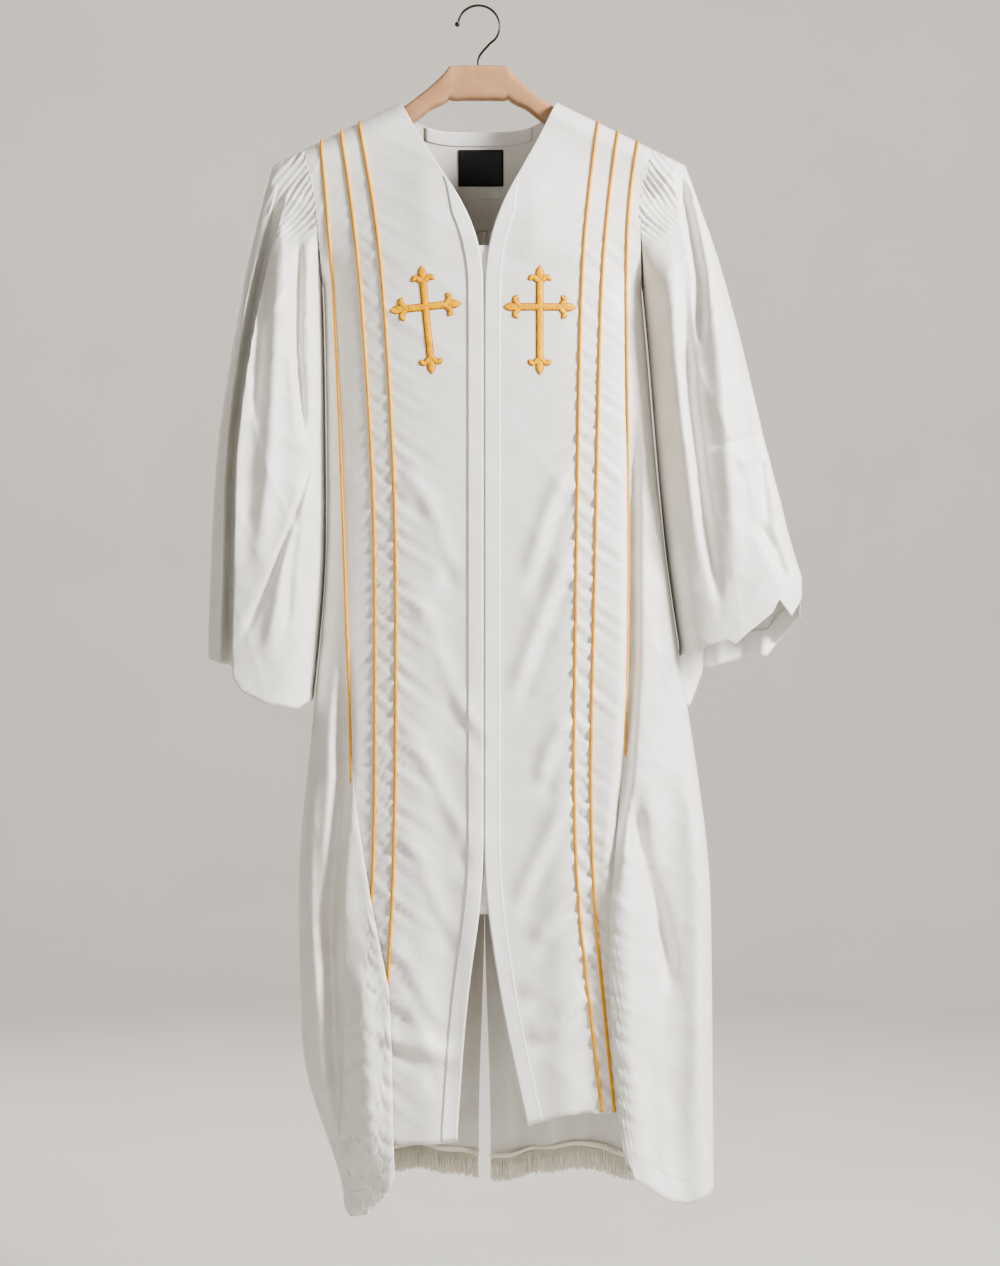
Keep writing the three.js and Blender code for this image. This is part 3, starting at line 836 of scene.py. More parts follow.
class Robe:
    """The seams, folds and shape that all of the robe's pieces share."""

    def __init__(self) -> None:
        """Reads the seams from the frame and sets out the folds."""
        self.form = Form()
        self.hem_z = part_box("front_panel_left")[0].z / MM
        self.back_hem_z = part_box("back_panel_left")[0].z / MM
        self.yoke_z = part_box("back_yoke")[0].z / MM
        self.side_hem_z = min(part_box("side_panel_left")[0].z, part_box("side_panel_right")[0].z) / MM
        self.lines: dict[tuple[Side, str], Line] = {}
        for side in Side:
            s, key = side.sign, side.value
            low, sleeve = self.hem_z + 6, f"sleeve_front_{key}"
            cuff_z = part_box(sleeve)[0].z / MM
            read = {
                "edge": edge_line(f"front_panel_{key}", False, s, self.form.neck_z - 4, low),
                "a": edge_line(f"front_panel_{key}", True, s, -170, low),
                "b": edge_line(f"inner_strip_{key}", True, s, -175, low),
                "c": edge_line(f"outer_strip_{key}", True, s, -180, low),
                "side": edge_line(f"side_panel_{key}", True, s, -182, self.side_hem_z + 30),
                "cuff": edge_line(sleeve, True, s, -205, cuff_z + 90),
                "sleeve": edge_line(sleeve, False, s, -200, cuff_z + 8),
            }
            for name, line in read.items():
                self.lines[side, name] = line
        self.lines[Side.LEFT, "side"] = self.drawn_in(self.lines[Side.LEFT, "side"])
        self.front_folds = self.make_front_folds()

    @staticmethod
    def drawn_in(side_line: Line) -> Line:
        """The left side, whose lowest part swings in towards the middle."""
        return lambda z: side_line(z) + 44 * ease(-np.asarray(z, float), 1230, 1450) ** 1.3

    def line(self, side: Side, name: str) -> Line:
        """One seam of one side."""
        return self.lines[side, name]

    def depth(self, x: Array, z: Array) -> Array:
        """Half depth of the robe's body.

        Args:
            x: places across, in millimetres.
            z: heights, in millimetres.

        Returns:
            The half depth at each place.
        """
        left, right = self.line(Side.LEFT, "side")(z), self.line(Side.RIGHT, "side")(z)
        reach = np.where(x < 0, -left, right)
        share = np.clip(np.abs(x) / reach, 0, 1)
        return self.form.growing(x, z) * self.form.section(share, self.form.closing(z))

    def front_hem(self, x: Array) -> Array:
        """Height of the front hem, which lifts to the right of the opening."""
        x = np.asarray(x, float)
        return self.hem_z - 14 * ease(-x, -60, 60) + 22 * ease(x, 20, 120)

    def back_hem(self, x: Array) -> Array:
        """Height of the back hem, which hangs in shallow waves."""
        x = np.asarray(x, float)
        return self.back_hem_z - 15 - 7 * np.sin(x / 31 + 0.9)

    def make_front_folds(self) -> list[Fold]:
        """The folds of the front: drag lines, deep side folds and seam puckers.

        Returns:
            The folds.
        """
        drag_left = [
            ((-96, -700), (-68, -730), (-54, -778), (-36, -825), (8, -892)),
            ((-96, -862), (-62, -918), (-27, -990), (-15, -1036)),
            ((-100, -986), (-80, -1012), (-62, -1060), (-30, -1125)),
            ((-108, -1108), (-92, -1143), (-45, -1232)),
            ((-120, -1232), (-57, -1250), (-28, -1264)),
            ((-92, -560), (-60, -610), (-30, -700)),
            ((-110, -1175), (-80, -1205), (-50, -1290)),
        ]
        drag_right = [
            ((110, -855), (85, -896), (74, -942)),
            ((112, -944), (79, -1008), (44, -1084)),
            ((142, -1115), (97, -1155), (44, -1190)),
            ((132, -1172), (97, -1220), (53, -1238)),
            ((114, -650), (84, -720), (40, -840)),
            ((112, -560), (90, -600), (58, -700)),
            ((140, -1040), (100, -1080), (60, -1130)),
        ]
        folds: list[Fold] = []
        for line in drag_left + drag_right:
            folds.append(Crease(line, 12, 6.5))
            sunk = tuple((x + 4, z - 17) for x, z in line)
            folds.append(Crease(sunk, 10, -5.0))
        deep = [
            (((-160, -760), (-162, -930), (-176, -1100), (-172, -1250), (-160, -1400)), 9, -26),
            (((-196, -900), (-200, -1000), (-197, -1130), (-188, -1250)), 10, 9),
            (((-140, -1130), (-132, -1250), (-124, -1400)), 16, 12),
            (((186, -470), (184, -650), (183, -800), (174, -930), (162, -1020), (158, -1090)), 7, -24),
            (((186, -931), (190, -1002), (209, -1073), (225, -1144), (232, -1200)), 11, -17),
            (((170, -960), (172, -1100), (178, -1250), (190, -1400)), 18, 10),
            (((215, -560), (228, -700), (240, -850)), 12, 9),
            (((250, -900), (262, -1050), (262, -1250), (255, -1400)), 14, 8),
            (((200, -1240), (206, -1330), (212, -1420)), 13, -8),
            (((60, -200), (70, -260), (60, -330)), 20, 2.5),
            (((-70, -190), (-62, -260), (-50, -330)), 20, 2.5),
        ]
        folds += [Crease(line, width, height) for line, width, height in deep]
        for side in Side:
            folds.append(Puckers(self.line(side, "a")))
            folds.append(Puckers(self.line(side, "b"), pitch=17, height=1.7))
        folds.append(Flutes(pitch=88, top=-520, foot=-1400, height=2.6, phase=0.7))
        folds.append(Crumple(61, 1.1, 0.85, 70))
        return folds

    def place_front(self, x: Array, z: Array, out: float) -> Array:
        """Points on the front of the robe, folds included.

        Args:
            x: places across.
            z: heights.
            out: distance outwards of the cloth.

        Returns:
            One row (x, y, z) for each pair.
        """
        y = self.depth(x, z)
        lift = sum((f.lift(x, z) for f in self.front_folds), np.zeros(np.shape(x)))
        y = y + lift * ease(y, 0, 34) + out
        return np.stack([x, -np.maximum(y, 0.2), z], axis=1)


# Where each side panel folds over the strips below the hips, as (z, x) from the top down.
FOLD_LINES = {
    Side.LEFT: ((-780, -200), (-931, -151), (-1078, -126), (-1130, -115), (-1179, -105), (-1238, -102),
                (-1340, -100), (-1460, -97)),
    Side.RIGHT: ((-700, 235), (-837, 185), (-943, 172), (-1073, 157), (-1167, 155), (-1262, 160), (-1368, 171),
                 (-1440, 190)),
}
# The hem of each side panel, as (x, z) from left to right.
SIDE_HEMS = {
    Side.LEFT: ((-230, -1330), (-202, -1372), (-171, -1435), (-153, -1454), (-131, -1446), (-108, -1420),
                (-96, -1396)),
    Side.RIGHT: ((155, -1345), (170, -1372), (185, -1403), (229, -1433), (250, -1440), (284, -1428),
                 (300, -1420)),
}
# The hem of each half of each sleeve, in the same way; the back of the right cuff hangs in a tail.
SLEEVE_HEMS = {
    (Side.LEFT, Face.FRONT): ((-330, -786), (-299, -797), (-278, -828), (-251, -841), (-213, -848),
                              (-199, -838)),
    (Side.LEFT, Face.BACK): ((-330, -784), (-299, -799), (-278, -826), (-251, -838), (-213, -845),
                             (-199, -834)),
    (Side.RIGHT, Face.FRONT): ((236, -792), (250, -780), (293, -767), (303, -772), (316, -760), (348, -734),
                               (356, -718), (372, -738), (399, -700)),
    (Side.RIGHT, Face.BACK): ((236, -826), (258, -849), (279, -802), (323, -790), (356, -786), (380, -758),
                              (399, -722)),
}


@dataclass
class Fronts:
    """The centre, strip and side panels of the front."""

    robe: Robe
    finishes: Finishes
    side_fullness: float = 1.15
    turn_softness: float = 40.0
    hem_allowance: float = 30.0
    hem_stitches: int = 60

    def panel(self, side: Side, name: str, inner: str, outer: str, columns: int) -> None:
        """One panel between two seams.

        Args:
            side: which side of the robe.
            name: first words of the name of its node.
            inner: the seam nearer the middle.
            outer: the seam further out.
            columns: faces across.
        """
        lines = left_first(side, self.robe.line(side, inner), self.robe.line(side, outer))
        cloth = Cloth(f"{name}_{side.value}", Face.FRONT, lines[0], lines[1], self.robe.form.shoulder,
                      self.robe.front_hem, self.robe.depth, self.robe.front_folds, columns=columns)
        piece = cloth.build(self.finishes.robe)
        piece.name = f"{name}_{side.value}_cloth"
        declare_sheet(piece, f"{name}_{side.value}", "robe_cloth")

    def side_panel(self, side: Side) -> None:
        """The side panel, whose inner edge leaves its seam low down and folds over the strips.

        Args:
            side: which side of the robe.
        """
        seam, outer = self.robe.line(side, "c"), self.robe.line(side, "side")
        fold, hem = down_through(FOLD_LINES[side]), through(SIDE_HEMS[side])

        def inner(z: Array) -> Array:
            """The seam, or the fold where that is further in, with a soft turn between them.

            Args:
                z: heights, in millimetres.

            Returns:
                x at each height.
            """
            z = np.asarray(z, float)
            x = seam(z)
            gap = side.sign * (x - fold(z))
            return x - side.sign * (gap + np.sqrt(gap * gap + self.turn_softness)) / 2

        lines = left_first(side, inner, outer)
        brim = Brim(inner, ((-900, 0), (-975, 0.7), (-1060, 1), (-1460, 1)), 9)
        wrinkles = [Crumple(46, 1.8, 0.5), Crumple(33, 1.2, -0.75), Crumple(58, 1.8, 1.1)]
        cloth = Cloth(f"side_panel_{side.value}_cloth", Face.FRONT, lines[0], lines[1], self.robe.form.shoulder,
                      hem, self.robe.depth,
                      [*self.robe.front_folds, brim, *wrinkles], columns=80, crowd_ends=True)
        piece = cloth.build(self.finishes.robe)
        declare_sheet(piece, f"side_panel_{side.value}", "robe_cloth")
        tucked = replace(cloth, bottom=offset(hem, self.hem_allowance))
        u = np.linspace(0.03, 0.97, self.hem_stitches)
        places = tucked.points(u, np.ones(u.shape)) - np.array([0, 0.4, 0])
        stitches = stitch_row(f"side_hem_stitches_{side.value}", places, self.finishes.thread)
        settle(stitches, "robe_cloth")

    def build(self) -> None:
        """Makes all the panels."""
        for side in Side:
            self.panel(side, "front_panel", "edge", "a", 48)
            self.panel(side, "inner_strip", "a", "b", 16)
            self.panel(side, "outer_strip", "b", "c", 16)
            self.side_panel(side)
        LOG.info("fronts built")


@dataclass
class Facings:
    """The whiter matte strips along both front edges, with their rows of stitches."""

    robe: Robe
    finishes: Finishes
    width: float = 19.0
    top: float = -214.0

    def build(self) -> None:
        """Makes both strips."""
        for side in Side:
            edge = self.robe.line(side, "edge")
            wide = self.inner_edge(edge, side.sign)
            lines = left_first(side, offset(edge, side.sign * 0.3), wide)
            strip = Cloth(f"facing_{side.value}", Face.FRONT, lines[0], lines[1],
                          level(self.top), lambda x: self.robe.front_hem(x) + 3,
                          self.robe.depth, self.robe.front_folds, columns=8, rows=240, crowd=1.0, out=1.3,
                          thickness=0.9)
            turned = strip.build(self.finishes.facing)
            declare_sheet(turned, None, "robe_cloth")
            self.placket(side)
            z = np.arange(self.top - 6, self.robe.hem_z + 8, -3.4)
            x = wide(z) - side.sign * 1.6
            stitches = stitch_row(f"facing_stitches_{side.value}", self.robe.place_front(x, z, 1.5),
                                  self.finishes.thread)
            settle(stitches, "robe_cloth")
        LOG.info("facings built")

    def inner_edge(self, edge: Line, sign: int) -> Line:
        """The strip's other edge, which widens from the point on the neckline."""
        return lambda z: edge(z) + sign * self.width * (0.1 + 0.9 * ease(-np.asarray(z, float), 205, 268))

    def placket(self, side: Side) -> None:
        """The underlap behind one front edge, which hides the zip; the left one crosses the middle.

        Args:
            side: which side of the robe.
        """
        low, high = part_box(f"placket_{side.value}")
        middle = high.x / MM if side is Side.LEFT else low.x / MM
        outer = low.x / MM if side is Side.LEFT else high.x / MM
        under = 2.6 if side is Side.LEFT else 3.9
        span = (outer, middle + 7) if side is Side.LEFT else (middle, outer)
        left, right, top, bottom = level(span[0]), level(span[1]), level(high.z / MM), level(low.z / MM)
        strip = Cloth(f"placket_{side.value}_cloth", Face.FRONT, left, right, top, bottom, self.robe.depth,
                      columns=6, rows=90, crowd=1.0, out=-under, thickness=0.8)
        declare_sheet(strip.build(self.finishes.facing), f"placket_{side.value}", "robe_cloth")


def stitch_row(name: str, places: Array, material: bpy.types.Material, length: float = 2.3) -> bpy.types.Object:
    """A row of short thread stitches.

    Args:
        name: the piece's name.
        places: the middle of each stitch, in order.
        material: the thread.
        length: length of a stitch.

    Returns:
        The object.
    """
    turned = []
    for here, ahead in zip(places[:-1], places[1:]):
        way = Vector(ahead - here).normalized()
        at = Matrix.Translation(here) @ way.to_track_quat("Z", "Y").to_matrix().to_4x4()
        turned.append(at @ Matrix.Diagonal((0.7, 0.7, length, 1)))
    bm = repeat(ball(6, 4), turned)
    return finish_mesh(name, bm, [material])


@dataclass
class Pipings:
    """The satin-covered cords in the three seams of each side."""

    robe: Robe
    finishes: Finishes
    radius: float = 1.9
    ends: tuple[tuple[Side, str, float], ...] = (
        (Side.LEFT, "a", -1180), (Side.LEFT, "b", -1080), (Side.LEFT, "c", -975),
        (Side.RIGHT, "a", -1420), (Side.RIGHT, "b", -1420), (Side.RIGHT, "c", -900),
    )

    def build(self) -> None:
        """Makes the six cords; each runs into the hem, or under the fold that covers it."""
        for side, name, covered in self.ends:
            line = self.robe.line(side, name)
            start = float(self.robe.form.shoulder(line(np.array(-170.0)))) - 0.6
            foot = float(self.robe.front_hem(line(np.array(self.robe.hem_z)))) + 2
            z = start + (foot - start) * np.linspace(0, 1, 260) ** 1.5
            z = z[z > covered - 12]
            out = self.radius * 0.55 - 4.5 * ease(-z, -covered - 2, -covered + 12)
            path = self.robe.place_front(line(z), z, 0)
            path[:, 1] -= out
            cord = tube(f"piping_cord_{name}_{side.value}", path, self.radius, self.finishes.piping)
            settle(cord, "gold_piping", f"piping_{name}_{side.value}")
        LOG.info("pipings built")


@dataclass
class Back:
    """The back yoke, the gathered back panels and the neck."""

    robe: Robe
    finishes: Finishes
    neck_drop: float = 29.0
    vent_half: float = 7.0
    fullness: float = 1.25

    def neckline(self, x: Array) -> Array:
        """Top edge of the yoke: the back neckline, then the shoulders.

        Args:
            x: places across, in millimetres.

        Returns:
            The height at each place.
        """
        form = self.robe.form
        x = np.asarray(x, float)
        dip = form.neck_z - self.neck_drop * (1 - np.clip(np.abs(x) / form.neck_half, 0, 1) ** 4)
        return np.where(np.abs(x) < form.neck_half, dip, form.shoulder(x))

    def build(self) -> None:
        """Makes the yoke, both panels, the neck facing and the labels."""
        robe = self.robe
        yoke = Cloth("back_yoke_cloth", Face.BACK, robe.line(Side.LEFT, "side"), robe.line(Side.RIGHT, "side"),
                     self.neckline, level(robe.yoke_z), robe.depth,
                     [Flutes(150, -160, -300, 1.0)], columns=160, rows=44)
        declare_sheet(yoke.build(self.finishes.robe), "back_yoke", "robe_cloth")
        folds = [YokeGathers(robe.yoke_z, 9, 55, 1.6), Flutes(74, robe.yoke_z, robe.back_hem_z, 7.5, 1.9, 0.25),
                 Flutes(131, robe.yoke_z, robe.back_hem_z, 4.0, 0.4, 0.1)]
        for side in Side:
            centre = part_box(f"back_panel_{side.value}")
            middle = (centre[1].x if side is Side.LEFT else centre[0].x) / MM
            lines = left_first(side, self.vent(middle, side.sign), robe.line(side, "side"))
            panel = Cloth(f"back_panel_{side.value}_cloth", Face.BACK, lines[0], lines[1],
                          level(robe.yoke_z + 1.5),
                          robe.back_hem, robe.depth, folds, columns=110,
                          rows=240, crowd=1.0, crowd_ends=True)
            declare_sheet(panel.build(self.finishes.robe), f"back_panel_{side.value}", "robe_cloth")
        self.inner("neck_facing_cloth", "neck_facing", (-66, 66), lambda x: self.neckline(x) - 1,
                   lambda x: self.neckline(x) - 17, -1.6, self.finishes.facing, "robe_cloth")
        self.inner("woven_label_cloth", "woven_label", (-25, 30), level(-167), level(-209), -2.0,
                   self.finishes.label, "label_cloth")
        self.inner("care_label_cloth", "care_label", (-2, 26), level(-211), level(-224), -2.0,
                   self.finishes.care, "care_cloth")
        LOG.info("back built")

    def vent(self, middle: float, sign: int) -> Line:
        """The centre seam, which opens into the vent lower down."""
        return lambda z: middle + sign * self.vent_half * ease(-np.asarray(z, float), 1090, 1385)

    def inner(self, name: str, node: str, span: tuple[float, float], top: Line, bottom: Line, out: float,
              material: bpy.types.Material, slot: str) -> None:
        """A small cloth sewn to the inside of the yoke.

        Args:
            name: the piece's name.
            node: the CAD node that it stands for.
            span: its left and right edges.
            top: its top edge.
            bottom: its bottom edge.
            out: how far it stands out from the yoke.
            material: its finish.
            slot: not used.
        """
        cloth = Cloth(name, Face.BACK, level(span[0]), level(span[1]), top, bottom, self.robe.depth,
                      columns=24, rows=12, crowd=1.0, out=out, thickness=0.6)
        declare_sheet(cloth.build(material), node, slot)


@dataclass
class Sleeves:
    """The two bell sleeves, each a front and a back half that meet along their edges."""

    robe: Robe
    finishes: Finishes
    fullness: float = 1.3
    hem_width: float = 34.0
    hem_lift: float = 1.5

    def depth(self, side: Side, face: Face) -> Callable[[Array, Array], Array]:
        """Half depth of one half of a sleeve; the left front leaves a strip of the back in sight.

        Args:
            side: which side of the robe.
            face: front or back.

        Returns:
            The half depth as a function of place.
        """
        inner, outer = self.robe.line(side, "sleeve"), self.robe.line(side, "cuff")
        form = self.robe.form

        def half_depth(x: Array, z: Array) -> Array:
            """Half depth of this half of the sleeve.

            Args:
                x: places across, in millimetres.
                z: heights, in millimetres.

            Returns:
                The half depth at each place.
            """
            q = np.clip(2 * (x - inner(z)) / (outer(z) - inner(z)) - 1, -1, 1)
            closed = np.where(q < 0, form.closing(z), 1.0)
            full = form.growing(x, z) * form.section(q, closed)
            if side is Side.RIGHT or face is Face.BACK:
                return full
            from_edge, strip = x - outer(z), 15 + 4 * ease(-z, 500, 700)
            groove = ease(from_edge, strip, strip + 3) * (1 - ease(from_edge, strip + 13, strip + 16))
            sunk = 0.95 * groove + 0.2 * (1 - ease(from_edge, strip, strip + 3))
            return full * (1 - ease(-z, 215, 300) * sunk)

        return half_depth

    def folds(self, side: Side, face: Face) -> list[Fold]:
        """The folds of one half of a sleeve.

        Args:
            side: which side of the robe.
            face: front or back.

        Returns:
            The folds.
        """
        shirring = Gathers(self.robe.line(side, "sleeve"), 10.5, 40, 3.2, -275)
        shirring_small = Gathers(self.robe.line(side, "sleeve"), 6.3, 18, 1.2, -262)
        if face is Face.BACK:
            return [shirring, shirring_small, Flutes(46, -260, -800, 8, 0.6 + side.sign, 0.35)]
        left = [
            (((-262, -250), (-276, -400), (-288, -560), (-290, -720)), 13, 8),
            (((-212, -280), (-214, -420), (-206, -540)), 5, -9),
            (((-232, -250), (-238, -400), (-246, -560), (-262, -700)), 11, 8),
            (((-250, -240), (-256, -380), (-266, -520)), 5, -7),
            (((-192, -530), (-210, -600), (-247, -700), (-283, -775)), 4, -5),
            (((-198, -560), (-216, -640), (-240, -740), (-250, -800)), 10, 6),
            (((-208, -600), (-222, -680), (-228, -760)), 6, -6),
            (((-200, -290), (-196, -420), (-192, -520)), 8, 5),
        ]
        right = [
            (((240, -190), (254, -270), (263, -335), (262, -430)), 6, -13),
            (((254, -210), (270, -300), (282, -420), (296, -580), (306, -720)), 13, 9),
            (((244, -330), (250, -480), (268, -620), (290, -750)), 7, -9),
            (((224, -290), (230, -420), (246, -560), (262, -690)), 10, 7),
            (((290, -280), (312, -400), (334, -540), (346, -680)), 8, -8),
            (((310, -280), (336, -420), (362, -560), (372, -660)), 12, 7),
            (((272, -538), (305, -532), (345, -520)), 5, -4),
            (((300, -560), (332, -548), (362, -556)), 8, 4),
            (((326, -620), (352, -660), (366, -700)), 7, -6),
            (((366, -600), (376, -650), (386, -690)), 6, -5),
        ]
        chosen = left if side is Side.LEFT else right
        wrinkles = [Crumple(52, 2.2, 0.25), Crumple(37, 1.4, -0.6), Crumple(44, 1.6, 0.95)]
        return [shirring, shirring_small, *wrinkles,
                *(Crease(line, width, height * 1.25) for line, width, height in chosen)]

    def build(self) -> None:
        """Makes both sleeves and their turned-up hems."""
        for side in Side:
            ends = left_first(side, self.robe.line(side, "sleeve"), self.robe.line(side, "cuff"))
            for face in Face:
                word = face.name.lower()
                common = {"left": ends[0], "right": ends[1], "depth": self.depth(side, face),
                          "folds": self.folds(side, face), "crowd_ends": True, "calm": 22}
                hem = through(SLEEVE_HEMS[side, face])
                half = Cloth(f"sleeve_{word}_{side.value}_cloth", face, top=self.robe.form.shoulder, bottom=hem,
                             columns=110, rows=200, crowd=1.4, **common)
                declare_sheet(half.build(self.finishes.robe), f"sleeve_{word}_{side.value}", "robe_cloth")
                facing = Cloth(f"sleeve_hem_{word}_{side.value}_cloth", face, top=offset(hem, self.hem_width),
                               bottom=offset(hem, self.hem_lift), columns=110, rows=10, crowd=1.0, out=-1.8,
                               thickness=0.8, **common)
                turned = facing.build(self.finishes.facing)
                declare_sheet(turned, f"sleeve_hem_{word}_{side.value}", "robe_cloth")
        LOG.info("sleeves built")


@dataclass
class Fringes:
    """The twisted braid and the cut brush fringe of the inner hem."""

    robe: Robe
    finishes: Finishes
    strand: float = 0.85
    rows: int = 4

    def hem_points(self, side: Side, step: float, inward: float) -> Array:
        """Places along the hem, from the vent outwards.

        Args:
            side: which side of the robe.
            step: distance from one to the next.
            inward: how far they lie inside the cloth.

        Returns:
            One row for each place.
        """
        low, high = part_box(f"brush_fringe_{side.value}")
        x = np.arange(low.x / MM + 1, high.x / MM - 1, step)
        z = self.robe.back_hem(x)
        flutes = [Flutes(74, self.robe.yoke_z, self.robe.back_hem_z, 7.5, 1.9, 0.25)]
        y = self.robe.depth(x, z) + sum(f.lift(x, z) for f in flutes) - inward
        return np.stack([x, y, z], axis=1)

    def build(self) -> None:
        """Makes the braid and the strands of each side."""
        rng = np.random.default_rng(7)
        for side in Side:
            beads = []
            for k, place in enumerate(self.hem_points(side, 2.1, 3.6)):
                lean = 0.65 if k % 2 else 0.75
                at = Matrix.Translation(place + np.array([0, -1.5, 4.0])) @ Matrix.Rotation(lean, 4, "Y")
                beads.append(at @ Matrix.Diagonal((3.2, 4.2, 8.6, 1)))
            braid = repeat(ball(8, 6), beads)
            heading = finish_mesh(f"fringe_braid_{side.value}_cord", braid, [self.finishes.fringe])
            settle(heading, "cream_fringe", f"fringe_braid_{side.value}")
            hung = []
            for row in range(self.rows):
                for place in self.hem_points(side, self.strand, 1.6 + 0.9 * row):
                    length = 26 + rng.normal(0, 1.9)
                    lean = rng.normal(0, 0.05)
                    tilt = rng.normal(0, 0.05)
                    at = (Matrix.Translation(place) @ Matrix.Rotation(lean, 4, "Y")
                          @ Matrix.Rotation(tilt, 4, "X") @ Matrix.Translation((0, 0, -length / 2)))
                    hung.append(at @ Matrix.Diagonal((1, 1, length, 1)))
            thread = bmesh.new()
            bmesh.ops.create_cone(thread, cap_ends=True, segments=4, radius1=0.55, radius2=0.6, depth=1)
            strands = repeat(thread, hung)
            brush = finish_mesh(f"brush_fringe_{side.value}_threads", strands, [self.finishes.fringe])
            settle(brush, "cream_fringe", f"brush_fringe_{side.value}")
        LOG.info("fringes built")


@dataclass
class Crosses:
    """The two embroidered crosses with leaf-shaped ends."""

    robe: Robe
    finishes: Finishes
    bar_half: float = 3.1
    leaf: float = 19.0

    def build(self) -> None:
        """Makes both crosses."""
        for side, tilt in ((Side.LEFT, 0.1), (Side.RIGHT, 0.0)):
            low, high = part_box(f"cross_{side.value}")
            middle = (low + high) / 2 / MM
            height, width = (high.z - low.z) / MM, (high.x - low.x) / MM
            centre_z = middle.z + height * 0.12
            # The edge layer is a slightly larger copy under the floss, in the darker floss: a painted shade
            # outline.
            for layer, (grow, out, material) in {
                "edge": (0.9, 0.0, self.finishes.floss_painted_shade), "floss": (0.0, 0.7, self.finishes.floss),
            }.items():
                petals: list[Matrix] = []
                for k, reach in enumerate((width / 2, height * 0.38, width / 2, height * 0.62)):
                    self.arm(petals, k * math.pi / 2 + tilt, reach - 1, grow)
                lens = ball(20, 12)
                for vert in lens.verts:
                    vert.co.y *= 1.25 * math.sqrt(max(1 - 4 * vert.co.x**2, 0.0))
                bm = repeat(lens, petals)
                self.lay(bm, middle.x, centre_z, out)
                piece = finish_mesh(f"cross_{layer}_{side.value}", bm, [material])
                settle(piece, "gold_embroidery", f"cross_{side.value}")
        LOG.info("crosses built")

    @staticmethod
    def petal(turn: float, along: float, across: float, lean: float,
              size: tuple[float, float, float]) -> Matrix:
        """Place of one padded lens of satin stitch, lying flat."""
        return (Matrix.Rotation(turn, 4, "Z") @ Matrix.Translation((along, across, 0))
                @ Matrix.Rotation(lean, 4, "Z") @ Matrix.Diagonal((*size, 1)))

    def arm(self, petals: list[Matrix], turn: float, reach: float, grow: float) -> None:
        """One arm: a padded bar, a pointed bud and two leaves that curl back from it.

        Args:
            petals: what the shapes are added to.
            turn: which way the arm points.
            reach: its length from the middle.
            grow: how much larger it is than the embroidery.
        """
        leaf = self.leaf
        bar = reach - leaf * 0.95
        thick = 2.4 if not grow else 1.2
        g = 2 * grow
        steps = max(int(bar / 3.2), 3)
        for k in range(steps):
            petals.append(self.petal(turn, (k + 0.5) * bar / steps, 0, 0,
                                     (bar / steps * 2.4 + g, 1.9 * self.bar_half + g, thick)))
        petals.append(self.petal(turn, reach - leaf * 0.45, 0, 0, (leaf * 0.9 + g, leaf * 0.36 + g, thick)))
        for way in (-1, 1):
            petals.append(self.petal(turn, reach - leaf * 0.8, way * leaf * 0.24, way * 0.8,
                                     (leaf * 0.66 + g, leaf * 0.24 + g, thick)))
            petals.append(self.petal(turn, reach - leaf * 0.72, way * leaf * 0.52, -way * 0.9,
                                     (leaf * 0.48 + g, leaf * 0.22 + g, thick)))

    def lay(self, bm: bmesh.types.BMesh, x: float, z: float, out: float) -> None:
        """Lays the flat cross on the cloth.

        Args:
            bm: the flat cross.
            x: where its middle goes, across.
            z: where its middle goes, in height.
            out: how far it stands out from the cloth.
        """
        flat = np.array([v.co for v in bm.verts])
        places = self.robe.place_front(flat[:, 0] + x, flat[:, 1] + z, out)
        places[:, 1] -= flat[:, 2] + 0.4
        for vert, place in zip(bm.verts, places):
            vert.co = place
        bmesh.ops.recalc_face_normals(bm, faces=bm.faces)


